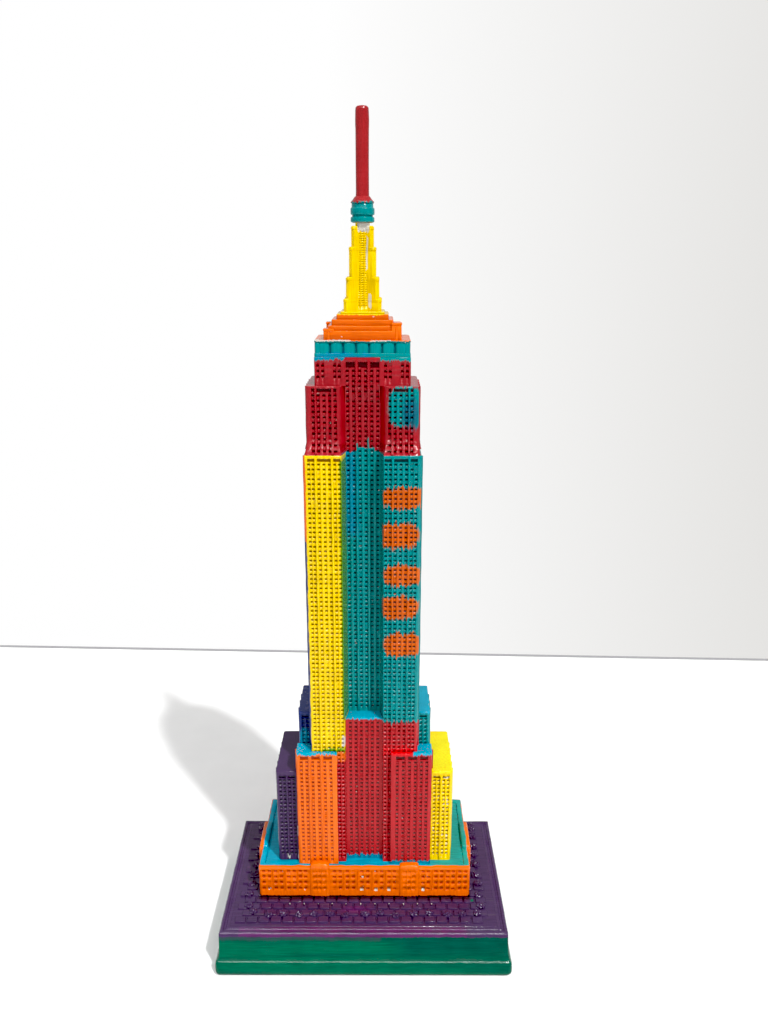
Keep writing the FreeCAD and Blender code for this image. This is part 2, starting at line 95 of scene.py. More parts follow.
# ---------------------------------------------------------------- sizes of the relief, in mm
CORNER = 0.8                # bevel of the outer vertical corners
RETURN_X = 9.0              # where the splayed return meets the pier's face
SIDE_RETURN_Y = 9.0
UPPER_RETURN_X = 10.8
ROW_PITCH = 2.16
UPPER_ROW_PITCH = 2.33
WINDOW_W = 1.3
WINDOW_H = 1.25
WINDOW_DEPTH = 1.0
CHANNEL_DEPTH = 0.25        # spandrels between the windows of one column
SILL = (0.2, 0.4)           # rounded sill: heights of its two bends, as shares of the window
# The lower walls' sills carry more relief, so paint() darkens them as painted shade.
LOW_WALLS = dict(channel=0.34, depth=1.05, sill=0.85)   # deeper, and their sills lie dark
LOW_RIB = (0.85, 0.55)
SLOT_DEPTH = 0.75
RIB_W = 1.0
RIB_PROUD = 0.75
SLOPE = 0.16                # plan width of a window's splayed sides
EDGE = 0.35                 # rounding of the blocks' top edges
WARP = 0.1                  # unevenness of the castings
WARP_LENGTH = 6.0
SMOOTH_WALLS = 62.0         # degrees below which an edge is shaded smooth
SMOOTH_PLAIN = 38.0
FOOT_Z = DECK_TOP - 0.6     # the tower's blocks reach down into the deck

PIER_COLUMNS = ((9.9, 11.75), (14.05, 16.3, 18.6), (21.0, 22.75))
PIER_SIDE_COLUMNS = ((-10.7, -8.7), (-5.9, -3.8))
BAY_COLUMNS = ((-6.4, -3.85), (-1.25, 1.25), (3.85, 6.4))
UPPER_COLUMNS = ((11.5,), (13.7, 16.1, 18.5), (20.8,))
CROWN_COLUMNS = ((9.7, 11.6), (16.6, 18.7))
WING_COLUMNS = ((15.6, 18.4), (21.3, 24.1), (26.9, 29.4))
SIDE_COLUMNS = ((33.5, 35.5), (37.9, 39.9))
TIER_COLUMNS = ((26.7, 28.9),)
WING_SIDE_COLUMNS = ((-12.6, -10.4), (-7.6, -5.4))
ARM_COLUMNS = ((2.4, 4.6), (7.0, 9.2), (11.6, 13.8))


# ---------------------------------------------------------------- mesh building
def warped(point):
    """Moves a point a little, the same way wherever two pieces meet."""
    fade = min(1.0, max(0.0, (point.z - 2.0) / 8.0))
    shift = noise.noise_vector(point / WARP_LENGTH) * WARP * fade
    return point + shift


def mesh_object(name, points, faces, material):
    """New object in the scene, from points in millimetres."""
    mesh = bpy.data.meshes.new(name)
    mesh.from_pydata([p * MM for p in points], [], faces)
    mesh.update()
    mesh.materials.append(material)
    obj = bpy.data.objects.new(name, mesh)
    bpy.context.scene.collection.objects.link(obj)
    return obj


def cast(node, material, *shells, name=None, smooth_angle=None, warp=True):
    """One piece for a CAD node, from several closed shells of (points, faces, relief)."""
    points, faces, relief = [], [], []
    for shell_points, shell_faces, shell_relief in shells:
        start = len(points)
        points += [warped(p) for p in shell_points] if warp else shell_points
        faces += [[start + i for i in face] for face in shell_faces]
        relief += shell_relief
    piece = mesh_object(name or node + "_cast", points, faces, material)
    mesh = piece.data
    mesh.polygons.foreach_set("use_smooth", [True] * len(mesh.polygons))
    smooth_angle = smooth_angle or (SMOOTH_WALLS if max(relief) > 0 else SMOOTH_PLAIN)
    mesh.set_sharp_from_angle(angle=math.radians(smooth_angle))
    mesh.attributes.new("relief", "FLOAT", "POINT").data.foreach_set("value", relief)
    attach(piece, "root")
    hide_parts(node)
    return piece


def mirrored(shell, flip_x=False, flip_y=False, middle=AXIS_Y):
    """Shell mirrored about the model's middle plane and about an upright plane at y = middle."""
    points, faces, relief = shell
    if flip_x:
        points = [Vector((-p.x, p.y, p.z)) for p in points]
    if flip_y:
        points = [Vector((p.x, 2 * middle - p.y, p.z)) for p in points]
    if flip_x != flip_y:
        faces = [list(reversed(face)) for face in faces]
    return points, faces, relief


def plain(points, faces):
    """Shell without relief."""
    return points, faces, [0.0] * len(points)


def bands(rings, count, wrap=False):
    """Quads between rings of count points, and from the last ring to the first if they wrap."""
    faces = []
    for k in range(rings if wrap else rings - 1):
        a, b = k * count, (k + 1) % rings * count
        faces += [(a + i, a + (i + 1) % count, b + (i + 1) % count, b + i) for i in range(count)]
    return faces


def capped(rings, count):
    """Bands closed by a face over the first ring and over the last."""
    top = (rings - 1) * count
    return bands(rings, count) + [list(reversed(range(count))), [top + i for i in range(count)]]


def cut_end(x, y, cut=CORNER):
    """Counter-clockwise outline over (low, high) pairs, its two outer corners cut."""
    (x0, x1), (y0, y1) = x, y
    return (x0, y0), (x1 - cut, y0), (x1, y0 + cut), (x1, y1 - cut), (x1 - cut, y1), (x0, y1)


def cut_corners(x, y, cut=CORNER):
    """Counter-clockwise outline over (low, high) pairs, all four corners cut."""
    return cut_end((x[0] + cut, x[1]), y, cut) + ((x[0], y[1] - cut), (x[0], y[0] + cut))


def inset_outline(outline, distance):
    """Counter-clockwise outline moved inwards, corner by corner."""
    moved = []
    count = len(outline)
    for i, here in enumerate(outline):
        before = (here - outline[i - 1]).normalized()
        after = (outline[(i + 1) % count] - here).normalized()
        inward_a = Vector((-before.y, before.x))
        inward_b = Vector((-after.y, after.x))
        middle = inward_a + inward_b
        moved.append(here + middle * (distance / max(0.3, inward_a.dot(middle))))
    return moved


class Facade:
    """Window columns, ribs and top slots of one wall, measured along its edge."""

    def __init__(self, groups, origin, rows, z, slot=None, ribs=True, width=WINDOW_W, depth=WINDOW_DEPTH,
                 channel=CHANNEL_DEPTH, rib=(RIB_W, RIB_PROUD), slope=SLOPE, tone=1.0, sill=0.2):
        self.z, self.rows, self.slot = z, rows, slot
        self.depth, self.channel, self.slope = depth, channel, slope
        self.tone, self.sill, self.rib_proud = tone, sill, rib[1]
        half = width / 2
        moved = [[abs(c - origin) for c in group] for group in groups]
        moved = sorted(sorted(group) for group in moved)
        self.columns = [(c - half, c + half) for group in moved for c in group]
        self.slots = [(group[0] - half, group[-1] + half) for group in moved]
        gaps = [(a[-1] + b[0]) / 2 for a, b in zip(moved, moved[1:])] if ribs else []
        self.ribs = [(g - rib[0] / 2, g + rib[0] / 2) for g in gaps]

    def along(self):
        lines = []
        for a, b in self.columns + self.ribs:
            slope = min(self.slope, (b - a) * 0.35)
            lines += [a, a + slope, b - slope, b]
        return lines

    def heights(self):
        lines = []
        for low, high in [self.z] + ([self.slot] if self.slot else []):
            slope = min(self.slope, (high - low) * 0.35)
            lines += [low, low + slope, high - slope, high]
        for low, high in self.rows:
            lines += [low, low + SILL[0] * (high - low), low + SILL[1] * (high - low), high - SLOPE * 0.7, high]
        return lines

    @staticmethod
    def inside(value, ranges):
        for i, (a, b) in enumerate(ranges):
            if a + 1e-4 < value < b - 1e-4:
                return i
        return -1

    def level(self, u, z, wobble):
        """(depth, relief) at a place. wobble(column, row) varies each window."""
        # The relief returned sets how far paint() darkens a spot, partly as gathered paint and partly as painted
        # shade: slots, channels, windows and sills.
        if not self.z[0] + 1e-4 < z < self.z[1] - 1e-4:
            return 0.0, 0.0
        if self.slot and self.slot[0] + 1e-4 < z < self.slot[1] - 1e-4:
            if self.inside(u, self.slots) >= 0:
                return SLOT_DEPTH, self.tone
        if self.inside(u, self.ribs) >= 0:
            return -self.rib_proud, -0.6
        column = self.inside(u, self.columns)
        if column < 0:
            return 0.0, 0.0
        row = self.inside(z, self.rows)
        if row < 0:
            return self.channel, 0.3 * self.tone
        share = wobble(column, row)
        low, high = self.rows[row]
        depth = self.channel + (self.depth - self.channel) * share
        if z < low + (SILL[0] + 0.05) * (high - low):
            return (self.channel + depth) / 2, self.sill * self.tone
        return depth, (0.3 + 0.7 * share) * self.tone


def window_rows(top, bottom, pitch, height=WINDOW_H):
    """Rows of windows from the first centre down, as (low, high)."""
    count = int((top - bottom) / pitch)
    return [(top - i * pitch - height / 2, top - i * pitch + height / 2) for i in range(count + 1)]


def unique_sorted(values, low, high):
    kept = [low]
    for value in sorted(values):
        if value > kept[-1] + 0.02 and value < high - 0.02:
            kept.append(value)
    return kept


def wobble_of(seed):
    """Each window's own share of the full depth: most near 1, a few clogged with paint."""
    def share(column, row):
        pick = random.Random(seed * 7919 + column * 613 + row * 17)
        return 0.25 if pick.random() < 0.035 else pick.uniform(0.78, 1.1)
    return share


def prism(outline, z, facades=None, edge=EDGE, seed=1, shape=None):
    """Closed block over a counter-clockwise outline, with window relief on chosen edges."""
    facades = facades or {}
    outline = [Vector(p) for p in outline]
    body_top = z[1] - edge
    heights = [h for f in facades.values() for h in f.heights()]
    levels = unique_sorted(heights, z[0], body_top) + [body_top]
    wobble = wobble_of(seed)
    points, relief, faces = [], [], []
    columns = []
    corner_column = []
    for i, start in enumerate(outline):
        end = outline[(i + 1) % len(outline)]
        along = (end - start).normalized()
        inward = Vector((-along.y, along.x))
        facade = facades.get(i)
        lines = unique_sorted(facade.along() if facade else [], 0.0, (end - start).length)
        corner_column.append(len(columns))
        for u in lines:
            at = start + along * u
            columns.append(len(points))
            for height in levels:
                depth, value = (0.0, 0.0)
                if facade and u > 0:
                    depth, value = facade.level(u, height, wobble)
                here = at + inward * depth
                points.append(Vector((here.x, here.y, height)))
                relief.append(value)
    total, high = len(columns), len(levels)
    for c in range(total):
        a, b = columns[c], columns[(c + 1) % total]
        for k in range(high - 1):
            faces.append((a + k, b + k, b + k + 1, a + k + 1))
    faces.append([columns[c] for c in reversed(range(total))])
    rim = []
    # The rim's rings carry relief -1, which paint() turns into pale flecks of wear and of painted highlight.
    for inset, drop, wear_and_highlight in ((edge * 0.29, edge * 0.29, -1.0), (edge, 0.0, -1.0), (edge + 0.45, 0.0, 0.0)):
        rim.append(len(points))
        for corner in inset_outline(outline, inset):
            points.append(Vector((corner.x, corner.y, z[1] - drop)))
            relief.append(wear_and_highlight)
    count = len(outline)
    for i in range(count):
        after = (i + 1) % count
        first, last = corner_column[i], corner_column[i + 1] if i + 1 < count else total
        lower = [columns[c % total] + high - 1 for c in range(first, last + 1)]
        faces.append(lower + [rim[0] + after, rim[0] + i])
        for a, b in zip(rim, rim[1:]):
            faces.append([a + i, a + after, b + after, b + i])
    faces.append([rim[-1] + i for i in range(count)])
    if shape:
        points = [shape(p) for p in points]
    return points, faces, relief


def rounded_rectangle(half_x, half_y, radius, centre_y, pieces, segments=4):
    """Counter-clockwise outline with rounded corners and its sides cut into (x, y) pieces."""
    points = []
    corners = ((half_x, -half_y, -90), (half_x, half_y, 0), (-half_x, half_y, 90), (-half_x, -half_y, 180))
    for k, (x, y, turn) in enumerate(corners):
        cx = x - math.copysign(radius, x)
        cy = y - math.copysign(radius, y)
        for i in range(segments + 1):
            angle = math.radians(turn + 90 * i / segments)
            points.append(Vector((cx + radius * math.cos(angle), cy + radius * math.sin(angle) + centre_y)))
        here = points[-1]
        nx, ny, after = corners[(k + 1) % 4]
        angle = math.radians(after)
        there = Vector((nx - math.copysign(radius, nx) + radius * math.cos(angle),
                        ny - math.copysign(radius, ny) + radius * math.sin(angle) + centre_y))
        count = pieces[(k + 1) % 2]
        points += [here.lerp(there, i / count) for i in range(1, count)]
    return points


def moulding(half, profile, radius=1.2, centre_y=0.0, closed=False, shape=None, step=3.0):
    """Block whose side follows a profile of (outward offset, height) points, or a closed rim."""
    points = []
    pieces = [max(2, int(2 * h / step)) for h in half]
    for offset, height in profile:
        outline = rounded_rectangle(half[0] + offset, half[1] + offset, max(0.15, radius + offset),
                                    centre_y, pieces)
        points += [Vector((corner.x, corner.y, height)) for corner in outline]
    rings, count = len(profile), len(outline)
    if shape:
        points = [shape(p) for p in points]
    return plain(points, bands(rings, count, True) if closed else capped(rings, count))


def lathe(profile, segments=40, ripple=0.0, centre=(0.0, AXIS_Y)):
    """Turned piece from (radius, height) points, closed on the axis at both ends."""
    cx, cy = centre
    points = []
    for radius, height in profile:
        for s in range(segments):
            angle = 2 * math.pi * s / segments
            spot = Vector((math.cos(angle) * 1.7, math.sin(angle) * 1.7, height * 0.4))
            grown = radius * (1 + ripple * noise.noise(spot))
            points.append(Vector((cx + grown * math.cos(angle), cy + grown * math.sin(angle), height)))
    return plain(points, capped(len(profile), segments))


def slab(x, y, z, edge=0.3, lean=0.0):
    """Box with bevelled top and vertical edges, from (low, high) pairs."""
    outline = [Vector(corner) for corner in cut_corners(x, y, edge)]
    points = []
    for inset, height in ((0.0, z[0]), (lean, z[1] - edge), (lean + edge * 0.8, z[1])):
        points += [Vector((c.x, c.y, height)) for c in (inset_outline(outline, inset) if inset else outline)]
    return plain(points, capped(3, len(outline)))


def turned(shell, angle, centre):
    """Shell turned about an upright axis through centre."""
    points, faces, relief = shell
    turn = Matrix.Rotation(angle, 3, "Z")
    middle = Vector((centre[0], centre[1], 0.0))
    return [turn @ (p - middle) + middle for p in points], faces, relief


# ---------------------------------------------------------------- materials
def linear(red, green, blue, share=1.0):
    """Linear colour from the usual 0 to 255 screen values, dimmed to a share."""
    values = [c / 255 for c in (red, green, blue)]
    return tuple(share * (c / 12.92 if c <= 0.04045 else ((c + 0.055) / 1.055) ** 2.4) for c in values) + (1.0,)


LIT = 0.76                  # paints look lighter than this under the studio's light
PAINTS = {
    "yellow": (252, 214, 10), "lemon": (255, 240, 20), "orange": (248, 114, 24), "red": (186, 36, 42),
    "scarlet": (222, 26, 34), "crimson": (172, 36, 46), "teal": (0, 144, 146), "azure": (0, 138, 168),
    "cyan": (0, 166, 196), "lake": (14, 134, 164), "sea": (40, 164, 156), "navy": (28, 48, 118),
    "cobalt": (46, 60, 124), "violet": (72, 50, 90), "plum": (77, 52, 94), "magenta": (100, 46, 102),
    "dusk": (50, 76, 78), "painted_shadow": (46, 27, 48), "slate": (22, 106, 128), "green": (0, 106, 78),
    "bottle": (0, 84, 70), "leaf": (104, 156, 20), "tangerine": (216, 98, 22), "rod_red": (170, 42, 46),
    "resin": (232, 228, 218), "undercoat": (128, 116, 104), "felt": (40, 62, 52), "steel": (150, 152, 154),
}
COLOURS = {name: linear(*screen, LIT) for name, screen in PAINTS.items()}


def area(colour, soft, *places, **place):
    """Patch of colour inside (low, high) ranges of x, y and z, None standing for no limit."""
    return colour, "within", soft, *(places or (place,))


def dab(colour, soft, *places, **place):
    """Rounded patch of colour on a wall: x and z are (centre, half size), y a (low, high) range."""
    return colour, "blob", soft, *(places or (place,))


class Nodes:
    """Short calls for building the node tree of a material or of the world."""

    def __init__(self, owner, shader="Principled BSDF", coordinates="Object"):
        owner.use_nodes = True
        self.tree = owner.node_tree
        self.shader = self.tree.nodes[shader]
        self.place = self.add("ShaderNodeTexCoord").outputs[coordinates]
        if coordinates == "Object":
            in_mm = self.add("ShaderNodeVectorMath", {0: self.place, "Scale": 1 / MM}, operation="SCALE")
            self.place = in_mm.outputs[0]

    def feed(self, target, value):
        """Links a socket to target, or sets a plain value on it."""
        if isinstance(value, bpy.types.NodeSocket):
            self.tree.links.new(value, target)
        else:
            target.default_value = value

    def add(self, kind, inputs=(), **settings):
        """New node with its settings; inputs maps its sockets to values or to other sockets."""
        node = self.tree.nodes.new(kind)
        for key, value in settings.items():
            setattr(node, key, value)
        for key, value in dict(inputs).items():
            self.feed(node.inputs[key], value)
        return node

    def surface(self, **inputs):
        """Feeds the shader's own sockets, named with _ for a space."""
        for key, value in inputs.items():
            self.feed(self.shader.inputs[key.replace("_", " ")], value)

    def math(self, operation, *values):
        return self.add("ShaderNodeMath", enumerate(values), operation=operation).outputs[0]

    def noise(self, scale, detail=3.0, stretch=(1.0, 1.0, 1.0), shift=(0.0, 0.0, 0.0)):
        """Noise with features about 1/scale mm across, as (value, colour)."""
        place = self.add("ShaderNodeMapping", {"Scale": stretch, "Location": shift, "Vector": self.place})
        node = self.add("ShaderNodeTexNoise", {"Scale": scale, "Detail": detail, "Vector": place.outputs[0]})
        return node.outputs["Fac"], node.outputs["Color"]

    def ramp(self, value, low, high, start=0.0, end=1.0):
        return self.add("ShaderNodeMapRange", {"From Min": low, "From Max": high, "To Min": start,
                                               "To Max": end, "Value": value}).outputs["Result"]

    def mix(self, share, first, second, blend="MIX"):
        return self.add("ShaderNodeMix", {0: share, 6: first, 7: second}, data_type="RGBA",
                        blend_type=blend).outputs[2]

    def bump(self, height, distance, strength=1.0, onto=None):
        """Normal raised by height, by up to distance mm, over the normal of another bump."""
        node = self.add("ShaderNodeBump", {"Strength": strength, "Distance": distance * MM, "Height": height})
        if onto:
            self.feed(node.inputs["Normal"], onto)
        return node.outputs[0]

    def ragged(self, amount, fringe):
        """Place shifted by soft waves and by bristle streaks, for hand-painted edges."""
        wave = self.add("ShaderNodeVectorMath", {0: self.noise(0.16, 4.0)[1], 1: (2 * amount,) * 3,
                                                 2: (-amount,) * 3}, operation="MULTIPLY_ADD")
        bristles = self.noise(1.0, 2.0, stretch=(1.1, 1.1, 0.1))[0]
        drag = self.add("ShaderNodeCombineXYZ", {"Z": self.ramp(bristles, 0.3, 0.7, -fringe, fringe)})
        total = self.add("ShaderNodeVectorMath", {0: wave.outputs[0], 1: drag.outputs[0]}, operation="ADD")
        final = self.add("ShaderNodeVectorMath", {0: self.place, 1: total.outputs[0]}, operation="ADD")
        return self.add("ShaderNodeSeparateXYZ", {0: final.outputs[0]}).outputs

    def within(self, axes, soft, **ranges):
        """1 inside the given x, y and z ranges, 0 outside, with a soft edge."""
        share = None
        for name, (low, high) in ranges.items():
            for limit, sign in ((low, 1), (high, -1)):
                if limit is None:
                    continue
                step = self.ramp(axes["xyz".index(name)], limit - sign * soft, limit + sign * soft)
                share = step if share is None else self.math("MULTIPLY", share, step)
        return share

    def blob(self, axes, soft, x, z, y):
        """Rounded dab in the plane of a wall: x and z are (centre, half size), y a (low, high) range."""
        parts = []
        for axis, (centre, half) in ((axes[0], x), (axes[2], z)):
            away = self.math("ABSOLUTE", self.math("SUBTRACT", axis, centre))
            parts.append(self.math("POWER", self.math("DIVIDE", away, half), 2.6))
        total = self.math("ADD", *parts)
        return self.math("MULTIPLY", self.ramp(total, 1 + soft, 1 - soft), self.within(axes, 0.2, y=y))


GRAIN = {"up": (1.0, 1.0, 0.07), "across": (0.07, 1.0, 1.0)}   # how brush strokes stretch the noise


def paint(name, base, patches=(), streaks="up", bare=0.72, fringe=0.9, waver=0.8, gloss=0.17,
          pool_and_shade=(0.10, 0.09, 0.12), dry=0.0, wash=None, lacquer=0.5, gloss_bands=None, brush=(0.86, 1.1),
          lump=0.22):
    """Glossy brushed craft paint on resin.

    patches come from area and dab, later ones on top. bare is how rare the unpainted flecks in the
    windows are, fringe and waver how ragged the patches' edges, pool the colour that darkens the
    hollows, partly for paint gathered there and partly as painted shade, dry the share of scuffs, wash a
    broad second colour, and brush the range of the strokes' shade.
    """
    material = bpy.data.materials.new(name)
    made = Nodes(material)
    axes = made.ragged(waver, fringe)
    relief = made.add("ShaderNodeAttribute", attribute_name="relief").outputs["Fac"]
    colour = COLOURS[base]
    if wash:
        broad = made.noise(0.45, 4.0, stretch=(0.04, 0.7, 0.7), shift=(5.0, 1.0, 4.0))[0]
        colour = made.mix(made.ramp(broad, 0.42, 0.62, 0.0, wash[1]), colour, COLOURS[wash[0]])
    for patch, kind, soft, *places in patches:
        for place in places:
            share = getattr(made, kind)(axes, soft, **place)
            if kind == "blob":
                share = made.math("MULTIPLY", share, made.ramp(relief, 0.95, 0.45, 0.25, 1.0))
            colour = made.mix(share, colour, COLOURS[patch])
    strokes = made.noise(1.6, 4.0, stretch=GRAIN[streaks])[0]
    clouds = made.noise(0.12, 3.0, shift=(7.0, 3.0, 1.0))[0]
    fine = made.noise(3.2, 2.0)[0]
    tint = made.math("MULTIPLY", made.ramp(strokes, 0.25, 0.75, *brush),
                     made.ramp(clouds, 0.3, 0.7, 0.93, 1.07))
    shade = made.add("ShaderNodeCombineXYZ", {0: tint, 1: tint, 2: tint})
    colour = made.mix(1.0, colour, shade.outputs[0], "MULTIPLY")
    # Hollows marked by relief are darkened: partly paint gathered there, partly painted shade in the windows, slots
    # and channels.
    pooled_and_shaded = made.mix(1.0, colour, pool_and_shade + (1.0,), "MULTIPLY")
    colour = made.mix(made.ramp(relief, 0.4, 0.85, 0.0, 0.9), colour, pooled_and_shaded)
    gaps = made.noise(0.42, 3.0, shift=(31.0, 5.0, 9.0))[0]
    deep = made.ramp(relief, 0.5, 0.95)
    hollow = made.math("MULTIPLY", made.ramp(gaps, bare - 0.08, bare), deep)
    colour = made.mix(made.math("MULTIPLY", hollow, 0.6), colour, COLOURS["undercoat"])
    spots = made.math("MULTIPLY", made.ramp(gaps, bare, bare + 0.02), made.ramp(relief, 0.1, 0.7))
    colour = made.mix(spots, colour, COLOURS["resin"])
    # Rims marked by negative relief get pale resin flecks: wear on the edges and a painted highlight along them.
    wear_and_highlight = made.math("MULTIPLY", made.ramp(made.noise(0.9, 3.0, shift=(3.0, 8.0, 2.0))[0], 0.62, 0.70),
                     made.ramp(relief, -0.65, -1.0))
    colour = made.mix(made.math("MULTIPLY", wear_and_highlight, 0.5), colour, COLOURS["resin"])
    if dry:
        scuffs = made.noise(0.7, 5.0, stretch=GRAIN[streaks], shift=(2.0, 2.0, 9.0))[0]
        colour = made.mix(made.ramp(scuffs, 0.60, 0.68, 0.0, dry), colour, COLOURS["undercoat"])
    rough = made.ramp(made.noise(0.6, 3.0, shift=(1.0, 4.0, 6.0))[0], 0.3, 0.7, gloss - 0.05, gloss + 0.1)
    lumps = made.bump(made.noise(0.8, 2.0, shift=(4.0, 9.0, 2.0))[0], lump)
    skin = made.bump(fine, 0.06, 0.5, onto=made.bump(strokes, 0.10, 0.55))
    made.surface(Base_Color=colour, Specular_IOR_Level=0.10, Coat_Weight=lacquer, Coat_Roughness=0.2,
                 Coat_Normal=lumps, Roughness=rough, Normal=skin)
    if gloss_bands:
        share = made.math("MAXIMUM", *[made.within(axes, 0.3, **band) for band in gloss_bands])
        made.surface(Coat_Weight=made.ramp(share, 0.0, 1.0, 0.06, lacquer))
    return material


def felt_material():
    material = bpy.data.materials.new("wool_felt")
    made = Nodes(material)
    fibres = made.noise(2.2, 6.0)[0]
    colour = made.mix(made.ramp(fibres, 0.35, 0.65), COLOURS["felt"], linear(62, 88, 74))
    made.surface(Base_Color=colour, Roughness=0.95, Sheen_Weight=0.4, Normal=made.bump(fibres, 0.15, 0.8))
    return material


def steel_material():
    material = bpy.data.materials.new("zinc_plated_steel")
    made = Nodes(material)
    brushed = made.noise(2.5, 4.0, stretch=(1.0, 1.0, 0.2))[0]
    colour = made.mix(made.ramp(brushed, 0.3, 0.7), COLOURS["steel"], linear(182, 182, 178))
    made.surface(Base_Color=colour, Roughness=made.ramp(brushed, 0.3, 0.7, 0.28, 0.45), Metallic=1.0,
                 Normal=made.bump(brushed, 0.05, 0.3))
    return material


def board_material(name, grey, roughness):
    material = bpy.data.materials.new(name)
    made = Nodes(material)
    shades = [tuple(c * k for c in grey) + (1.0,) for k in (0.97, 1.0)]
    grain = made.ramp(made.noise(0.05, 4.0)[0], 0.3, 0.7)
    made.surface(Base_Color=made.mix(grain, *shades), Roughness=roughness)
    return material


# ---------------------------------------------------------------- where the painter put each colour
PIER_FACE = (PIER_LOW.y - 2.0, PIER_LOW.y + 4.0)
DAB_HEIGHTS = ((224.5, 4.7), (207.6, 5.9), (189.2, 4.9), (174.0, 5.4), (156.0, 5.7))
DABS = [dict(x=(16.5 + 0.9 * (-1) ** i, 9.2 - 0.35 * (i % 3)), z=place, y=PIER_FACE)
        for i, place in enumerate(DAB_HEIGHTS)]
RED_EDGE = 116.5            # lower limit of teal on the right pier

green = paint("paint_green", "green", [
    area("bottle", 1.2, z=(18.6, None)),
    area("bottle", 6.0, x=(16.0, None), z=(9.0, None)),
    area("dusk", 0.7, x=(None, 8.0), z=(19.0, None)),
    area("plum", 0.25, z=(20.7, None)),
    # Lighter magenta band along the plinth's front top edge: a painted highlight of its glossy edge.
    area("magenta", 0.4, x=(-58.0, 48.0), y=(None, -36.0), z=(21.0, 22.6)),
], streaks="across", waver=0.8, fringe=0.2, gloss=0.14, wash=("bottle", 0.6), lacquer=1.0,
   gloss_bands=[dict(z=(7.5, 8.4)), dict(z=(22.35, None))], brush=(0.76, 1.16), lump=0.14)
violet = paint("paint_violet", "violet", [
    area("resin", 0.15, dict(x=(-32.3, -31.5), z=(54.0, 60.0)), dict(x=(-32.2, -31.2), z=(41.0, 46.0)),
     dict(x=(-37.6, -36.2), z=(41.5, 43.2))),
])
plum = paint("paint_plum", "plum", [
    dab("magenta", 1.4, x=(-3.5, 6.0), z=(24.0, 5.0), y=(-29.0, -24.6)),
    # Dark purple strip along the podium's foot on the paving: a painted shadow.
    area("painted_shadow", 0.5, x=(PODIUM_LOW.x - 0.6, PODIUM_HIGH.x + 0.6), y=(PODIUM_LOW.y - 2.3, None)),
    # Pale post tips: a painted highlight on the small posts.
    area("resin", 0.2, x=(-38.0, 35.0), y=(-25.2, -23.8), z=(24.75, None)),
    area("green", 0.1, x=(51.6, 53.0), y=(-21.6, -20.0)),
], streaks="across", waver=0.4, gloss=0.14, dry=0.1, lacquer=0.8, brush=(0.7, 1.06))
# Darkening for the orange paints' hollows and upright faces: partly paint gathered there, partly painted shade.
ORANGE_HOLLOW_SHADE = (0.34, 0.14, 0.08)
SHOWING = [dict(x=(c - 0.7, c + 0.7), z=(26.7, 28.5), y=(None, PODIUM_LOW.y + 2))
           for c in (-1.2, 5.5, 11.9, 28.5)]       # resin in the lowest windows
podium_orange = paint("paint_podium_orange", "orange", [
    area("resin", 0.15, *SHOWING),
    # The podium's lowest band is darkened: painted shade where it meets the paving.
    area("painted_shadow", 0.1, z=(None, PAVING_HIGH.z + 0.35)),
], bare=0.68, waver=0.5, fringe=0.2, pool_and_shade=(0.48, 0.2, 0.1))
roof_orange = paint("paint_roof_orange", "orange", [
    area("yellow", 0.2, z=(300.3, None)),
    area("resin", 0.1, x=(None, -5.0), y=(None, 0.0), z=(289.8, 290.3)),
    area("resin", 0.1, x=(3.0, 12.0), y=(None, 0.0), z=(289.8, 290.2)),
    area("teal", 0.12, z=(None, 289.9)),
], streaks="across", fringe=0.25, waver=0.5, gloss=0.13, pool_and_shade=ORANGE_HOLLOW_SHADE)
deck_blue = paint("paint_deck", "cyan", [
    area("sea", 5.0, x=(33.0, None)),
], streaks="across", waver=0.9, fringe=0.2, gloss=0.3, dry=0.12, brush=(0.6, 1.14))
rim_paint = paint("paint_parapet", "cyan", [
    area("sea", 5.0, x=(33.0, None)),
    area("orange", 0.15, y=(None, PODIUM_LOW.y + 1.3)),
    area("orange", 0.12, dict(x=(PODIUM_HIGH.x - 0.35, None)), dict(x=(None, PODIUM_LOW.x + 0.45))),
    area("orange", 0.15, y=(PODIUM_HIGH.y - 0.5, None)),
    area("orange", 0.15, x=(PODIUM_HIGH.x - 1.5, None), z=(None, 39.6)),
    area("orange", 0.15, x=(None, PODIUM_LOW.x + 1.5), z=(None, 39.6)),
], streaks="across", waver=0.7, fringe=0.2, pool_and_shade=ORANGE_HOLLOW_SHADE)
navy = paint("paint_navy", "navy", [
    area("cobalt", 0.3, z=(TIER_HIGH.z - 0.9, TIER_HIGH.z + 2.0)),
    dab("azure", 0.5, x=(-28.4, 2.2), z=(104.0, 5.0), y=(TIER_LOW.y - 1.0, TIER_LOW.y + 2.0)),
], gloss=0.22)
tier_teal = paint("paint_tier_teal", "teal", [area("cyan", 0.3, z=(TIER_HIGH.z - 0.9, None))])
# Darkening for the yellow paints' hollows: partly paint gathered there, partly painted shade.
YELLOW_HOLLOW_SHADE = (0.22, 0.13, 0.06)
yellow_pier = paint("paint_yellow_pier", "yellow", [
    area("orange", 0.15, dict(x=(None, 0.75 - PIER_HIGH.x), z=(205.0, None)),
     dict(x=(None, 2.6 - PIER_HIGH.x), y=(PIER_LOW.y + 2.6, None), z=(205.0, None))),
    area("navy", 0.2, dict(x=(None, 0.55 - PIER_HIGH.x), z=(None, 205.0)),
     dict(x=(None, 2.6 - PIER_HIGH.x), y=(PIER_LOW.y + 2.6, None), z=(None, 205.0))),
    area("leaf", 0.35, x=(-9.7, None), z=(118.0, 241.0)),
    area("leaf", 0.4, x=(-19.5, None), z=(None, 102.6)),
    area("resin", 0.3, x=(-10.4, None), z=(104.0, 108.5)),
    area("orange", 0.2, z=(None, WING_HIGH.z - 0.6)),
    area("red", 0.5, z=(None, WING_HIGH.z - 5.5)),
], pool_and_shade=YELLOW_HOLLOW_SHADE)
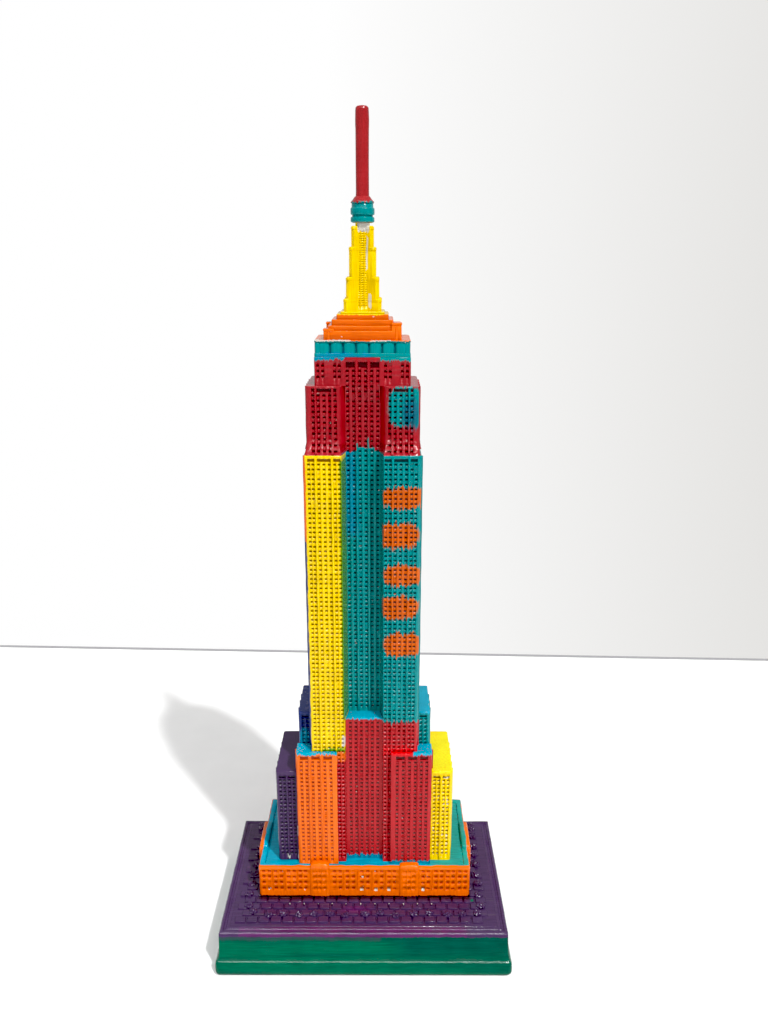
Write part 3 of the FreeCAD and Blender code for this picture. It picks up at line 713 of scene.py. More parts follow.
lemon = paint("paint_lemon", "lemon", [area("yellow", 0.3, z=(None, SIDE_HIGH.z - 0.6))], bare=0.59,
              pool_and_shade=YELLOW_HOLLOW_SHADE)
mast_yellow = paint("paint_mast_yellow", "yellow", [
    area("resin", 0.15, x=(-2.0, 2.6), z=(333.2, 337.0), y=(None, AXIS_Y)),
    area("resin", 0.12, x=(1.5, 2.2), z=(318.0, 331.5), y=(None, AXIS_Y - 2.0)),
    area("resin", 0.15, x=(2.3, 3.6), z=(302.6, 308.5), y=(None, AXIS_Y - 2.0)),
], fringe=0.8, waver=0.5, pool_and_shade=YELLOW_HOLLOW_SHADE)
teal = paint("paint_teal", "teal")
teal_pier = paint("paint_teal_pier", "teal", [
    area("red", 0.4, z=(None, RED_EDGE)),
    area("scarlet", 0.5, z=(WING_HIGH.z - 1.5, WING_HIGH.z + 2.5)),
    dab("tangerine", 0.18, *DABS),
], fringe=1.7, waver=1.3)
centre_teal = paint("paint_centre", "teal", [
    area("azure", 2.0, x=(None, -3.0), z=(205.0, None)),
    area("crimson", 0.3, z=(243.2, None)),
    area("teal", 0.25, x=(-2.5, 5.0), z=(242.0, 244.8)),
    area("teal", 0.2, dict(x=(2.1, 2.8), z=(242.0, 248.8)), dict(x=(-2.6, -1.9), z=(242.0, 246.6))),
], fringe=0.7)
lower_red = paint("paint_lower_red", "red", [
    area("cyan", 0.3, z=(BAY_HIGH.z - 0.9, None)),
    area("lake", 0.2, z=(None, DECK_TOP + 2.2)),
])
red = paint("paint_red", "red")
left_wing = paint("paint_left_wing", "orange", [
    area("cyan", 0.25, z=(WING_HIGH.z - 0.7, None)),
], pool_and_shade=ORANGE_HOLLOW_SHADE)
right_wing = paint("paint_right_wing", "red", [
    area("cyan", 0.3, x=(23.0, None), z=(WING_HIGH.z - 0.8, None)),
    area("scarlet", 0.3, x=(None, 23.0), z=(WING_HIGH.z - 1.2, None)),
    area("lake", 0.2, z=(None, DECK_TOP + 1.9)),
])
crimson = paint("paint_crimson", "crimson", bare=0.70)
patched_crimson = paint("paint_patched_crimson", "crimson", [
    dab("teal", 0.15, x=(18.2, 7.6), z=(263.3, 8.6), y=(UPPER_LOW.y - 2.0, UPPER_LOW.y + 3.0)),
    dab("slate", 0.7, x=(20.4, 3.4), z=(260.6, 6.4), y=(UPPER_LOW.y - 2.0, UPPER_LOW.y + 3.0)),
], fringe=2.2, waver=1.7, bare=0.70)
crown_crimson = paint("paint_crown", "crimson", [
    area("teal", 0.25, z=(CROWN_HIGH.z - 1.4, None)),
    area("azure", 0.4, x=(None, -6.0), z=(CROWN_HIGH.z - 1.2, None)),
], fringe=0.7, bare=0.70)
# Its pool colour darkens the wall between the pilasters to dark blue, as painted shade.
cornice_teal = paint("paint_cornice", "teal", [
    area("azure", 0.5, x=(-19.0, 4.0), z=(None, 284.9)),
], bare=0.72, pool_and_shade=(0.30, 0.46, 0.66))
rod_red = paint("paint_rod", "rod_red", [area("teal", 0.2, z=(None, 344.8))], gloss=0.24)
ring_teal = paint("paint_rings", "teal", [
    area("undercoat", 0.15, z=(None, 336.9)),
], fringe=0.15, waver=0.2)
felt = felt_material()
steel = steel_material()


# ---------------------------------------------------------------- plinth
PLINTH_LOW, PLINTH_HIGH = span("plinth")
FELT_LOW, FELT_HIGH = span("felt_pad")
FOOT_X, FOOT_Y = PLINTH_HIGH.x, PLINTH_HIGH.y
SHOULDER_Z = 8.4            # top of the foot moulding
PLINTH_PROFILE = (
    (-2.6, PLINTH_LOW.z), (-1.0, PLINTH_LOW.z), (-0.3, PLINTH_LOW.z + 0.3), (0.0, PLINTH_LOW.z + 1.0),
    (0.0, 3.2), (-0.1, 5.4), (-0.25, 6.7), (-0.55, 7.45), (-0.75, 7.68), (-0.93, 7.845), (-1.11, 8.01),
    (-1.29, 8.175), (-1.9, SHOULDER_Z), (-2.05, 8.9), (-2.1, 11.0), (-2.2, 14.0), (-2.3, 17.0), (-2.4, 20.0),
    (-2.5, 22.4), (-2.92, 22.79), (-3.5, 22.8), (-4.0, 22.75), (-4.25, 22.4), (-5.2, 22.38), (-5.48, 22.64),
    (-6.5, 22.66), (-6.9, 22.55), (-8.0, 22.5),
)
cast("plinth", green, moulding((FOOT_X, FOOT_Y), PLINTH_PROFILE, radius=2.2, step=2.0), name="plinth_cast")

FELT_PROFILE = ((-0.3, FELT_LOW.z), (0.0, 0.25), (0.02, 0.6), (-0.2, FELT_HIGH.z))
felt_pad = cast("felt_pad", felt, moulding((FELT_HIGH.x, FELT_HIGH.y), FELT_PROFILE, radius=1.5), warp=False)

SLAB_PITCH = (5.6, 4.3)
SLAB_JOINT = 0.55
BORDER = 1.6
CLUMP_FOOT_Z = 23.1
POST_PITCH = 6.84


def paving():
    """Kerb and slabs in running bond, around the podium."""
    x_end, y_end = PAVING_HIGH.x, PAVING_HIGH.y
    top = PAVING_HIGH.z
    shells = [slab((-x_end, x_end), (-y_end, y_end), (PAVING_LOW.z - 0.6, top - 0.75), 0.3)]
    pick = random.Random(11)
    rows = int(2 * (y_end - BORDER) / SLAB_PITCH[1])
    for j in range(rows):
        y = -y_end + BORDER + j * SLAB_PITCH[1]
        offset = (j % 2) * SLAB_PITCH[0] / 2
        count = int(2 * (x_end - BORDER) / SLAB_PITCH[0])
        for i in range(count):
            x = -x_end + BORDER + i * SLAB_PITCH[0] + offset
            ends = (x + SLAB_JOINT, min(x + SLAB_PITCH[0], x_end - BORDER))
            sides = (y + SLAB_JOINT, y + SLAB_PITCH[1])
            hidden = ends[0] > PODIUM_LOW.x + 1 and ends[1] < PODIUM_HIGH.x - 1
            if hidden and sides[0] > PODIUM_LOW.y + 1 and sides[1] < PODIUM_HIGH.y - 1:
                continue
            if ends[1] - ends[0] > 1.2:
                rise = pick.uniform(-0.14, 0.1)
                shells.append(slab(ends, sides, (top - 1.0, top + rise), 0.25, 0.06))
    return shells


def clump(centre, radius, height, seed):
    """Leafy hedge clump: a cluster of small uneven knobs."""
    pick = random.Random(seed)
    shells = []
    for k in range(8):
        turn = 2 * math.pi * k / 7 + pick.uniform(-0.3, 0.3)
        away = radius * (0.62 if k < 7 else 0.0)
        size = radius * pick.uniform(0.36, 0.52)
        lift = height * (pick.uniform(0.30, 0.62) if k < 7 else 0.8)
        middle = Vector((centre[0] + away * math.cos(turn), centre[1] + away * math.sin(turn), lift + CLUMP_FOOT_Z))
        shells.append(knob(middle, size, seed * 10 + k))
    return shells


def knob(middle, size, seed):
    """Small uneven rounded lump."""
    rings, around = 5, 8
    points, faces = [middle - Vector((0, 0, size))], []
    for r in range(1, rings):
        tilt = math.pi * r / rings
        for s in range(around):
            turn = 2 * math.pi * s / around
            way = Vector((math.sin(tilt) * math.cos(turn), math.sin(tilt) * math.sin(turn), -math.cos(tilt)))
            grown = size * (1 + 0.28 * noise.noise(way * 2.2 + Vector((seed, seed * 0.7, 0))))
            points.append(middle + way * grown)
    points.append(middle + Vector((0, 0, size)))
    last = len(points) - 1
    for s in range(around):
        after = (s + 1) % around
        faces.append((0, 1 + after, 1 + s))
        for r in range(rings - 2):
            a, b = 1 + r * around, 1 + (r + 1) * around
            faces.append((a + s, a + after, b + after, b + s))
        faces.append((last - around + s, last - around + after, last))
    return plain(points, faces)


def hedges():
    """Clumps in rows along the podium's four sides."""
    spots = []
    pick = random.Random(23)
    for i in range(15):
        spots.append((-54.0 + i * 7.7 + pick.uniform(-1.2, 1.2), -29.6 + pick.uniform(-1.2, 1.2), 2.0))
    for side in (-1, 1):
        for i in range(9):
            y = -24.0 + i * 7.2 + pick.uniform(-0.9, 0.9)
            spots.append((side * (56.2 + pick.uniform(-0.7, 0.9)), y, 2.1))
    for i in range(20):
        spots.append((-57.0 + i * 6.0 + pick.uniform(-0.8, 0.8), 36.2 + pick.uniform(-0.3, 0.3), 1.7))
    shells = []
    for k, (x, y, radius) in enumerate(spots):
        if abs(x) < PODIUM_HIGH.x + 1 and y > 30:
            y = 37.4
            radius = 1.2
        shells += clump((x, y), radius, 1.25, k + 1)
    return shells


def posts():
    """Row of tiny upright posts before the podium."""
    profile = ((0.34, 23.2), (0.3, 24.4), (0.36, 24.6), (0.28, 24.95), (0.1, 25.05))
    return [lathe(profile, segments=8, centre=(-35.9 + i * POST_PITCH, -24.5)) for i in range(11)]


cast("paving_slab", plum, *paving(), *hedges(), *posts())


# ---------------------------------------------------------------- podium
PODIUM_HALF = (PODIUM_HIGH.x, (PODIUM_HIGH.y - PODIUM_LOW.y) / 2)
PODIUM_MIDDLE = (PODIUM_HIGH.y + PODIUM_LOW.y) / 2
PLACES = (("front_right", False, False), ("front_left", True, False), ("rear_right", False, True),
          ("rear_left", True, True))
BAY_RIGHT_LOW, BAY_RIGHT_HIGH = span("entrance_bay_front_right")
CREST_Z = BAY_RIGHT_HIGH.z
SIDE_BAY_LOW, SIDE_BAY_HIGH = span("side_bay_right")
PODIUM_ROWS = [(c - 0.85, c + 0.85) for c in (37.6, 34.4, 31.1, 27.7)]
PODIUM_ZONE = (26.2, 38.9)
PODIUM_FRONT = ((-48.9, -46.1), (-43.1, -40.3), (-36.8, -34.0), (-31.1, -28.6), (-14.6, -11.8), (-8.3, -5.4),
                (-1.2, 1.6), (5.5, 8.4), (11.9, 14.6), (28.5, 31.0), (34.7, 37.4), (40.5, 43.1), (46.2, 49.0))
PODIUM_SIDE = ((-15.4, -12.6), (-9.6, -6.8), (18.6, 21.2), (24.4, 27.2), (31.0, 33.8))


def podium_walls(groups, origin, width=1.95, slope=0.34, **look):
    """Shallow windows with a fine groove between those of a pair."""
    return Facade(groups, origin, PODIUM_ROWS, PODIUM_ZONE, width=width, slope=slope, depth=0.6, channel=0.1,
                  rib=(0.3, -0.3), **look)


def wavy_edges(point):
    """Uneven painted lower and upper edges of the podium."""
    wave = noise.noise(Vector((point.x * 0.22, point.y * 0.22, 3.0))) * 0.45
    if point.z < 24.4:
        return point + Vector((0, 0, wave * 0.6))
    if point.z > 39.0:
        return point + Vector((0, 0, wave * 0.5))
    return point


def podium_block():
    x, y = (PODIUM_LOW.x, PODIUM_HIGH.x), (PODIUM_LOW.y, PODIUM_HIGH.y)
    rear = tuple((-b, -a) for a, b in PODIUM_FRONT)
    walls = ((PODIUM_FRONT, x[0] + CORNER), (PODIUM_SIDE, y[0] + CORNER), (rear, x[1] - CORNER),
             (PODIUM_SIDE, y[1] - CORNER))
    facades = {2 * k: podium_walls(groups, origin, sill=0.6) for k, (groups, origin) in enumerate(walls)}
    return prism(cut_corners(x, y), (PODIUM_LOW.z - 0.5, PODIUM_HIGH.z), facades, seed=5, shape=wavy_edges)


cast("podium", podium_orange, podium_block())

RIM_PROFILE = ((0.0, 39.0), (0.0, 39.9), (-0.15, 40.25), (-0.55, 40.4), (-1.5, 40.4), (-2.3, 40.38),
               (-2.7, 40.2), (-2.85, 39.8), (-2.9, 39.2))


def rim_wave(point):
    wave = noise.noise(Vector((point.x * 0.3, point.y * 0.3, 8.0)))
    side = noise.noise(Vector((point.x * 0.45, point.y * 0.45, 15.0)))
    lift = 0.4 * wave if point.z > 39.7 else 0.0
    return point + Vector((0.18 * side, 0.18 * side, lift))


cast("podium_parapet", rim_paint, moulding(PODIUM_HALF, RIM_PROFILE, radius=0.9, centre_y=PODIUM_MIDDLE,
                                           closed=True, shape=rim_wave, step=1.5))

DECK_LOW, DECK_HIGH = span("roof_deck")
LAP = 0.6                   # the deck runs on under the parapet


def deck_shell():
    """Slightly uneven deck over a grid, closed below."""
    across, deep = 64, 36
    points, faces = [], []
    for j in range(deep + 1):
        for i in range(across + 1):
            x = DECK_LOW.x - LAP + (DECK_HIGH.x - DECK_LOW.x + 2 * LAP) * i / across
            y = DECK_LOW.y - LAP + (DECK_HIGH.y - DECK_LOW.y + 2 * LAP) * j / deep
            edge = min(i, across - i, j, deep - j)
            drop = 0.3 if edge == 0 else 0.0
            wave = 0.1 * noise.noise(Vector((x * 0.2, y * 0.2, 1.0)))
            points.append(Vector((x, y, DECK_TOP - 0.1 - drop + wave)))
    top = len(points)
    points += [Vector((p.x, p.y, DECK_LOW.z - 0.4)) for p in points]
    wide = across + 1
    for j in range(deep):
        for i in range(across):
            a = j * wide + i
            faces.append((a, a + 1, a + wide + 1, a + wide))
            faces.append((top + a, top + a + wide, top + a + wide + 1, top + a + 1))
    rim = list(range(across)) + [j * wide + across for j in range(deep)]
    rim += [deep * wide + i for i in range(across, 0, -1)] + [j * wide for j in range(deep, 0, -1)]
    for k, a in enumerate(rim):
        b = rim[(k + 1) % len(rim)]
        faces.append((top + a, top + b, b, a))
    return plain(points, faces)


cast("roof_deck", deck_blue, deck_shell())

BAY_CORNER = 0.4
BAY_HEIGHTS = (PODIUM_LOW.z - 0.4, 40.3)
CREST_FOOT_Z = 40.1


def bay_shell():
    """Front right entrance bay: proud window panel."""
    x0, x1 = BAY_RIGHT_LOW.x, BAY_RIGHT_HIGH.x
    front = BAY_RIGHT_LOW.y + 0.3
    columns = ((x0 + 2.6, (x0 + x1) / 2, x1 - 2.6),)
    walls = podium_walls(columns, x0 + BAY_CORNER, 1.75, 0.3, ribs=False)
    back = front + 1.8
    outline = ((x0 + BAY_CORNER, front), (x1 - BAY_CORNER, front), (x1, front + BAY_CORNER), (x1, back),
               (x0, back), (x0, front + BAY_CORNER))
    return prism(outline, BAY_HEIGHTS, {0: walls}, seed=8, shape=wavy_edges)


def crest_shell(seed, rise):
    """Rounded crest over a bay, lying back onto the parapet."""
    x0, x1 = BAY_RIGHT_LOW.x + 0.1, BAY_RIGHT_HIGH.x - 0.1
    front, back = BAY_RIGHT_LOW.y + 0.1, BAY_RIGHT_HIGH.y
    middle, half = (x0 + x1) / 2, (x1 - x0) / 2
    across, deep = 18, 6
    points, faces = [], []
    for j in range(deep + 1):
        y = front + (back - front) * j / deep
        round_off = 0.45 if j in (0, deep) else 0.0
        for i in range(across + 1):
            turn = math.pi * (1 - i / across)
            height = (rise - round_off) * math.sin(turn) ** 0.6
            lump = 0.4 * noise.noise(Vector((i * 0.5, j * 0.7, seed * 5.0)))
            shrink = 1 - 0.04 * (round_off > 0)
            x = middle + half * shrink * math.cos(turn)
            points.append(Vector((x, y, CREST_FOOT_Z + height + lump * math.sin(turn))))
        points += [Vector((x, y, CREST_FOOT_Z - 0.5)) for x in (x1, x0)]
    wide = across + 3
    for j in range(deep):
        for i in range(wide):
            after = (i + 1) % wide
            a, b = j * wide, (j + 1) * wide
            faces.append((a + after, b + after, b + i, a + i))
    faces.append(list(reversed(range(wide))))
    faces.append([deep * wide + i for i in range(wide)])
    return plain(points, faces)


for index, (place, flip_x, flip_y) in enumerate(PLACES):
    rise = CREST_Z - 40.2 - (0.9 if place == "front_right" else 0.0)
    shells = (bay_shell(), crest_shell(index + 1, rise))
    cast("entrance_bay_" + place, podium_orange, *[mirrored(s, flip_x, flip_y, PODIUM_MIDDLE) for s in shells])


def side_bay_shells():
    """Right side bay: proud panel with windows and a low flat crest on the parapet."""
    x1 = SIDE_BAY_HIGH.x
    y0, y1 = SIDE_BAY_LOW.y, SIDE_BAY_HIGH.y
    columns = ((y0 + 2.2, y0 + 5.0), (y0 + 8.5, y0 + 11.3), (y1 - 5.0, y1 - 2.2))
    walls = podium_walls(columns, y0 + BAY_CORNER, 1.8, 0.3)
    outline = cut_end((PODIUM_HIGH.x - 0.4, x1), (y0, y1), BAY_CORNER)
    wall = prism(outline, BAY_HEIGHTS, {2: walls}, seed=9, shape=wavy_edges)
    crest = slab((PODIUM_HIGH.x - 2.8, x1 - 0.1), (y0 + 0.1, y1 - 0.1), (39.8, SIDE_BAY_HIGH.z), 0.5, 0.1)
    return [wall, crest]


for side in ("right", "left"):
    cast("side_bay_" + side, rim_paint, *[mirrored(s, side == "left") for s in side_bay_shells()])


# ---------------------------------------------------------------- tower walls
PIER_ROWS = window_rows(239.0, 42.0, ROW_PITCH)
PIER_ZONE = (41.0, 242.0)
PIER_SLOT = (240.3, 241.7)


def pier_shell(seed):
    """Front right corner pier."""
    front = PIER_LOW.y
    x1, back = PIER_HIGH.x, AXIS_Y - SIDE_RECESS_HALF_Y
    side_end = AXIS_Y - SIDE_RETURN_Y
    outline = ((RETURN_X, front), (x1 - CORNER, front), (x1, front + CORNER), (x1, side_end),
               (SIDE_RECESS_X, back), (RECESS_X, back), (RECESS_X, CENTRE_FACE_Y))
    facades = {0: Facade(PIER_COLUMNS, RETURN_X, PIER_ROWS, PIER_ZONE, PIER_SLOT),
               2: Facade(PIER_SIDE_COLUMNS, front + CORNER, PIER_ROWS, PIER_ZONE, PIER_SLOT)}
    return prism(outline, (FOOT_Z, PIER_HIGH.z), facades, seed=seed)


PIER_PAINTS = {"front_right": teal_pier, "front_left": yellow_pier, "rear_right": teal, "rear_left": navy}
for index, (place, flip_x, flip_y) in enumerate(PLACES):
    cast("shaft_pier_" + place, PIER_PAINTS[place], mirrored(pier_shell(20 + index), flip_x, flip_y))


def swelling(point):
    """The centre bays come forward under the cornice, nearly flush with the crown."""
    share = min(1.0, max(0.0, (point.z - 264.0) / 7.0))
    return point + Vector((0, math.copysign(1.2 * share, point.y - AXIS_Y), 0))


def core_stem():
    """Centre bays of the long fronts, from the deck to the cornice."""
    x, y0, y1 = RECESS_X, CENTRE_FACE_Y, CENTRE_REAR_Y
    rows = window_rows(277.4, 119.0, ROW_PITCH)
    outline = ((-x, y0), (x, y0), (x, y1), (-x, y1))
    walls = Facade(BAY_COLUMNS, -x, rows, (118.0, 281.8), (278.9, 281.3))
    return prism(outline, (FOOT_Z, CORE_HIGH.z), {0: walls, 2: walls}, seed=41, shape=swelling)


def core_arm(seed):
    """Right side bay of the shaft."""
    x0, x1 = RECESS_X - 0.3, SIDE_RECESS_X
    y0, y1 = AXIS_Y - SIDE_RECESS_HALF_Y, AXIS_Y + SIDE_RECESS_HALF_Y
    outline = ((x0, y0), (x1, y0), (x1, y1), (x0, y1))
    rows = window_rows(239.0, 119.0, ROW_PITCH)
    walls = Facade(ARM_COLUMNS, y0, rows, (118.5, 242.0), PIER_SLOT)
    return prism(outline, (FOOT_Z, PIER_HIGH.z), {1: walls}, seed=seed)


cast("shaft_core", centre_teal, core_stem())
cast("shaft_core", teal, core_arm(42), name="shaft_core_arm_right")
cast("shaft_core", navy, mirrored(core_arm(43), True), name="shaft_core_arm_left")


def lower_bay(seed):
    """Lower front centre bay with its ledge."""
    face, back = BAY_LOW.y, BAY_HIGH.y
    share = (face - CENTRE_FACE_Y) / (PIER_LOW.y - CENTRE_FACE_Y)
    wide = RECESS_X + share * (RETURN_X - RECESS_X)
    outline = ((-wide, face), (wide, face), (RECESS_X, back), (-RECESS_X, back))
    rows = window_rows(114.6, 42.0, ROW_PITCH)
    walls = Facade(BAY_COLUMNS, -wide, rows, (41.0, 116.6), rib=LOW_RIB, **LOW_WALLS)
    return prism(outline, (FOOT_Z, BAY_HIGH.z), {0: walls}, seed=seed)


cast("lower_centre_bay_front", lower_red, lower_bay(45))
cast("lower_centre_bay_rear", lower_red, mirrored(lower_bay(46), False, True))

WING_ROWS = window_rows(96.2, 42.0, ROW_PITCH)
WING_ZONE = (41.0, 99.8)
WING_SLOT = (97.6, 99.4)


def wing_shell(seed, inner_y):
    """Front right wing, wrapped round the pier's corner."""
    front, x0, x1 = WING_LOW.y, WING_LOW.x, WING_HIGH.x
    shaft_x, shaft_y = PIER_HIGH.x, PIER_LOW.y
    outline = ((x0, front), (x1 - CORNER, front), (x1, front + CORNER), (x1, inner_y), (shaft_x - 0.3, inner_y),
               (shaft_x - 0.3, shaft_y + 0.3), (x0, shaft_y + 0.3))
    facades = {0: Facade(WING_COLUMNS, x0, WING_ROWS, WING_ZONE, WING_SLOT, rib=LOW_RIB, **LOW_WALLS),
               2: Facade(WING_SIDE_COLUMNS, front + CORNER, WING_ROWS, WING_ZONE, WING_SLOT, **LOW_WALLS)}
    return prism(outline, (FOOT_Z, WING_HIGH.z), facades, seed=seed)


WING_PAINTS = {"front_right": right_wing, "front_left": left_wing, "rear_right": left_wing, "rear_left": navy}
for index, (place, flip_x, flip_y) in enumerate(PLACES):
    node = "wing_" + place
    low, high = span(node)
    inner = 2 * AXIS_Y - low.y if flip_y else high.y
    cast(node, WING_PAINTS[place], mirrored(wing_shell(50 + index, inner), flip_x, flip_y))


def half_blocks(node, paints, seed, x, y, z, fronts, side, rows, zone, slot=None, cut=CORNER, inner=(),
                shape=None, **look):
    """Right and left halves of a block, with windows on the front, the outer side and the rear."""
    walls = {edge: Facade(groups, origin, rows, zone, slot, **look)
             for edge, groups, origin in ((0, fronts, x[0]), (2, side, y[0] + cut), (4, fronts, x[1] - cut))}
    for k, (name, material) in enumerate(zip(("_right", "_left"), paints)):
        shell = prism(cut_end(x, y, cut) + inner, z, walls, seed=seed + k, shape=shape)
        cast(node + name, material, mirrored(shell, name == "_left"))


TIER_INNER_X = SIDE_RECESS_X - 0.3
half_blocks("tier_block", (tier_teal, navy), 60, (PIER_HIGH.x - 0.3, TIER_HIGH.x), (TIER_LOW.y, TIER_HIGH.y),
            (FOOT_Z, TIER_HIGH.z), TIER_COLUMNS, ((-3.0, -0.9), (3.6, 5.7), (10.4, 12.5), (16.0, 18.1)),
            window_rows(113.6, 90.6, ROW_PITCH), (90.0, 116.2), (114.8, 115.9), cut=0.5,
            inner=((TIER_INNER_X, TIER_HIGH.y - 5.0), (TIER_INNER_X, TIER_LOW.y + 6.8)))
half_blocks("side_block", (lemon, violet), 64, (WING_HIGH.x - 1.2, SIDE_HIGH.x), (SIDE_LOW.y, SIDE_HIGH.y),
            (FOOT_Z, SIDE_HIGH.z), SIDE_COLUMNS,
            ((-8.8, -6.6), (-3.6, -1.4), (1.6, 3.8), (8.4, 10.6), (13.6, 15.8), (18.8, 21.0)),
            window_rows(84.4, 42.0, ROW_PITCH), (41.0, 87.2), (85.7, 87.0), sill=0.5)

FLARE_TOP = (246.5, 251.0)  # heights where it starts to swell, in x and in y


def flared(point):
    """The upper block's foot swells out over the shaft's shoulder."""
    share, share_y = (min(1.0, max(0.0, (top - point.z) / (top - PIER_HIGH.z))) for top in FLARE_TOP)
    out_x = FLARE.x * share if point.x > UPPER_HIGH.x - 1.5 else 0.0
    out_y = FLARE.y * share_y ** 1.6
    if point.x < UPPER_RETURN_X + 0.1:
        out_x = (RETURN_X - UPPER_RETURN_X) * share_y if point.x > RECESS_X + 1 else 0.0
    outside = point.y < CENTRE_FACE_Y - 1 or point.y > CENTRE_REAR_Y + 1
    if outside and min(abs(point.y - UPPER_LOW.y), abs(point.y - UPPER_HIGH.y)) < 1.5:
        return point + Vector((out_x, math.copysign(out_y, point.y - AXIS_Y), 0))
    return point + Vector((out_x, 0, 0))


half_blocks("upper_block", (patched_crimson, crimson), 70, (UPPER_RETURN_X, UPPER_HIGH.x),
            (UPPER_LOW.y, UPPER_HIGH.y), (PIER_HIGH.z - 0.3, UPPER_HIGH.z), UPPER_COLUMNS,
            ((-6.0, -3.6), (0.6, 3.0), (7.0, 9.2), (13.2, 15.6), (19.8, 22.2)),
            window_rows(267.6, 244.2, UPPER_ROW_PITCH), (243.4, 271.0), (269.2, 270.6),
            inner=((RECESS_X, CENTRE_REAR_Y), (RECESS_X, CENTRE_FACE_Y)), shape=flared)
half_blocks("crown_block", (crown_crimson, crown_crimson), 74, (CROWN_LOW.x, CROWN_HIGH.x),
            (CROWN_LOW.y, CROWN_HIGH.y), (CROWN_LOW.z - 0.3, CROWN_HIGH.z), CROWN_COLUMNS,
            ((-2.6, -0.4), (3.4, 5.6), (10.6, 12.8), (16.6, 18.8)),
            window_rows(279.6, 273.0, UPPER_ROW_PITCH), (272.2, 281.6), cut=0.5, ribs=False)


# ---------------------------------------------------------------- cornice, roof and mast
BAND_LOW, BAND_HIGH = span("cornice_band")
FRIEZE_LOW, FRIEZE_HIGH = span("cornice_frieze")
BAND_HALF = (BAND_HIGH.x, (BAND_HIGH.y - BAND_LOW.y) / 2)
BAND_PROFILE = ((-0.5, BAND_LOW.z - 0.3), (-0.1, BAND_LOW.z), (0.0, BAND_LOW.z + 0.3),
                (0.0, BAND_HIGH.z - 0.35), (-0.15, BAND_HIGH.z - 0.08), (-0.5, BAND_HIGH.z))
cast("cornice_band", cornice_teal, moulding(BAND_HALF, BAND_PROFILE, radius=0.8, centre_y=AXIS_Y, step=1.5))


def pilaster(centre, width, front):
    """Upright bowed pilaster on the frieze's front wall."""
    half = width / 2 - 0.36
    z0, z1 = BAND_HIGH.z - 0.2, FRIEZE_HIGH.z
    across = 10
    points = []
    for bulge, height in ((1.0, z0), (1.0, z1 - 0.55), (0.85, z1 - 0.2), (0.45, z1)):
        for i in range(across + 1):
            turn = math.pi * i / across
            x = centre - half * math.cos(turn) * (0.93 + 0.07 * bulge)
            points.append(Vector((x, front - 0.15 - 0.9 * bulge * math.sin(turn) ** 0.7, height)))
        points.append(Vector((centre + half, front + 0.8, height)))
        points.append(Vector((centre - half, front + 0.8, height)))
    return plain(points, capped(4, across + 3))


def frieze_shells():
    """Wall with rows of bowed pilasters on its four sides."""
    half_x, half_y = FRIEZE_HIGH.x - 1.0, (FRIEZE_HIGH.y - FRIEZE_LOW.y) / 2 - 1.0
    wall = moulding((half_x, half_y), ((0.0, BAND_HIGH.z - 0.2), (0.0, FRIEZE_HIGH.z - 0.3),
                                       (-0.3, FRIEZE_HIGH.z)), radius=0.5, centre_y=AXIS_Y)
    # The wall between the pilasters carries relief, so paint() darkens it to dark blue as painted shade.
    shells = [(wall[0], wall[1], [0.8] * len(wall[0]))]
    for count, length, reach, angles in ((7, half_x, half_y, (0, 180)), (5, half_y, half_x, (90, 270))):
        step = 2 * length / count
        for k in range(count):
            upright = pilaster(-length + step * (k + 0.5), step, AXIS_Y - reach)
            shells += [turned(upright, math.radians(angle), (0.0, AXIS_Y)) for angle in angles]
    for x in (-half_x, half_x):
        for y in (-half_y, half_y):
            profile = ((1.35, BAND_HIGH.z - 0.2), (1.35, FRIEZE_HIGH.z - 0.5), (1.1, FRIEZE_HIGH.z - 0.1),
                       (0.6, FRIEZE_HIGH.z))
            shells.append(lathe(profile, segments=20, centre=(x * 0.985, AXIS_Y + y * 0.98)))
    return shells


cast("cornice_frieze", cornice_teal, *frieze_shells())


def step_block(node, edge=0.4, radius=0.7):
    """Roof step with a softly rounded top edge."""
    low, high = span(node)
    half = (high.x, (high.y - low.y) / 2)
    middle = (high.y + low.y) / 2
    profile = ((-0.3, low.z - 0.4), (0.0, low.z), (0.02, low.z + 0.2), (-0.05, high.z - edge),
               (-edge * 0.35, high.z - edge * 0.3), (-edge, high.z), (-edge - 0.3, high.z))
    points, faces, _ = moulding(half, profile, radius=radius, centre_y=middle, step=1.2)
    # Upright sides carry relief that paint() darkens as painted shade, so they look darker than the top faces; the
    # top edge gets pale flecks of wear and painted highlight.
    relief = []
    for point in points:
        below = high.z - point.z
        if below > edge * 1.5:
            relief.append(0.62)
        elif below > edge * 0.9:
            relief.append(0.45)
        else:
            relief.append(-1.0 if below > 0.01 else 0.0)
    return points, faces, relief


cast("roof_slab", roof_orange, step_block("roof_slab", 0.25, 1.6))
for k in range(4):
    cast("roof_step_%d" % (k + 1), roof_orange, step_block("roof_step_%d" % (k + 1)))
for place, *_ in PLACES:
    node = "corner_pylon_" + place
    low, high = span(node)
    middle = (low.x + high.x) / 2
    body = slab((low.x, high.x), (low.y, high.y), (low.z - 0.4, high.z), 0.4, 0.1)
    lip = slab((low.x - 0.12, high.x + 0.12), (low.y - 0.12, high.y + 0.12),
               (high.z - 0.75, high.z + 0.05), 0.3)
    rib = slab((middle - 0.5, middle + 0.5), (low.y - 0.28, high.y + 0.28),
               (low.z - 0.2, high.z - 1.1), 0.2)
    cast(node, roof_orange, body, lip, rib)

cast("mast_plinth", mast_yellow, step_block("mast_plinth", 0.35, 0.8))

CORE_MAST_LOW, CORE_MAST_HIGH = span("mast_core")
MAST_TOP_HALF = 2.9
MAST_BOTTOM_HALF = 3.8


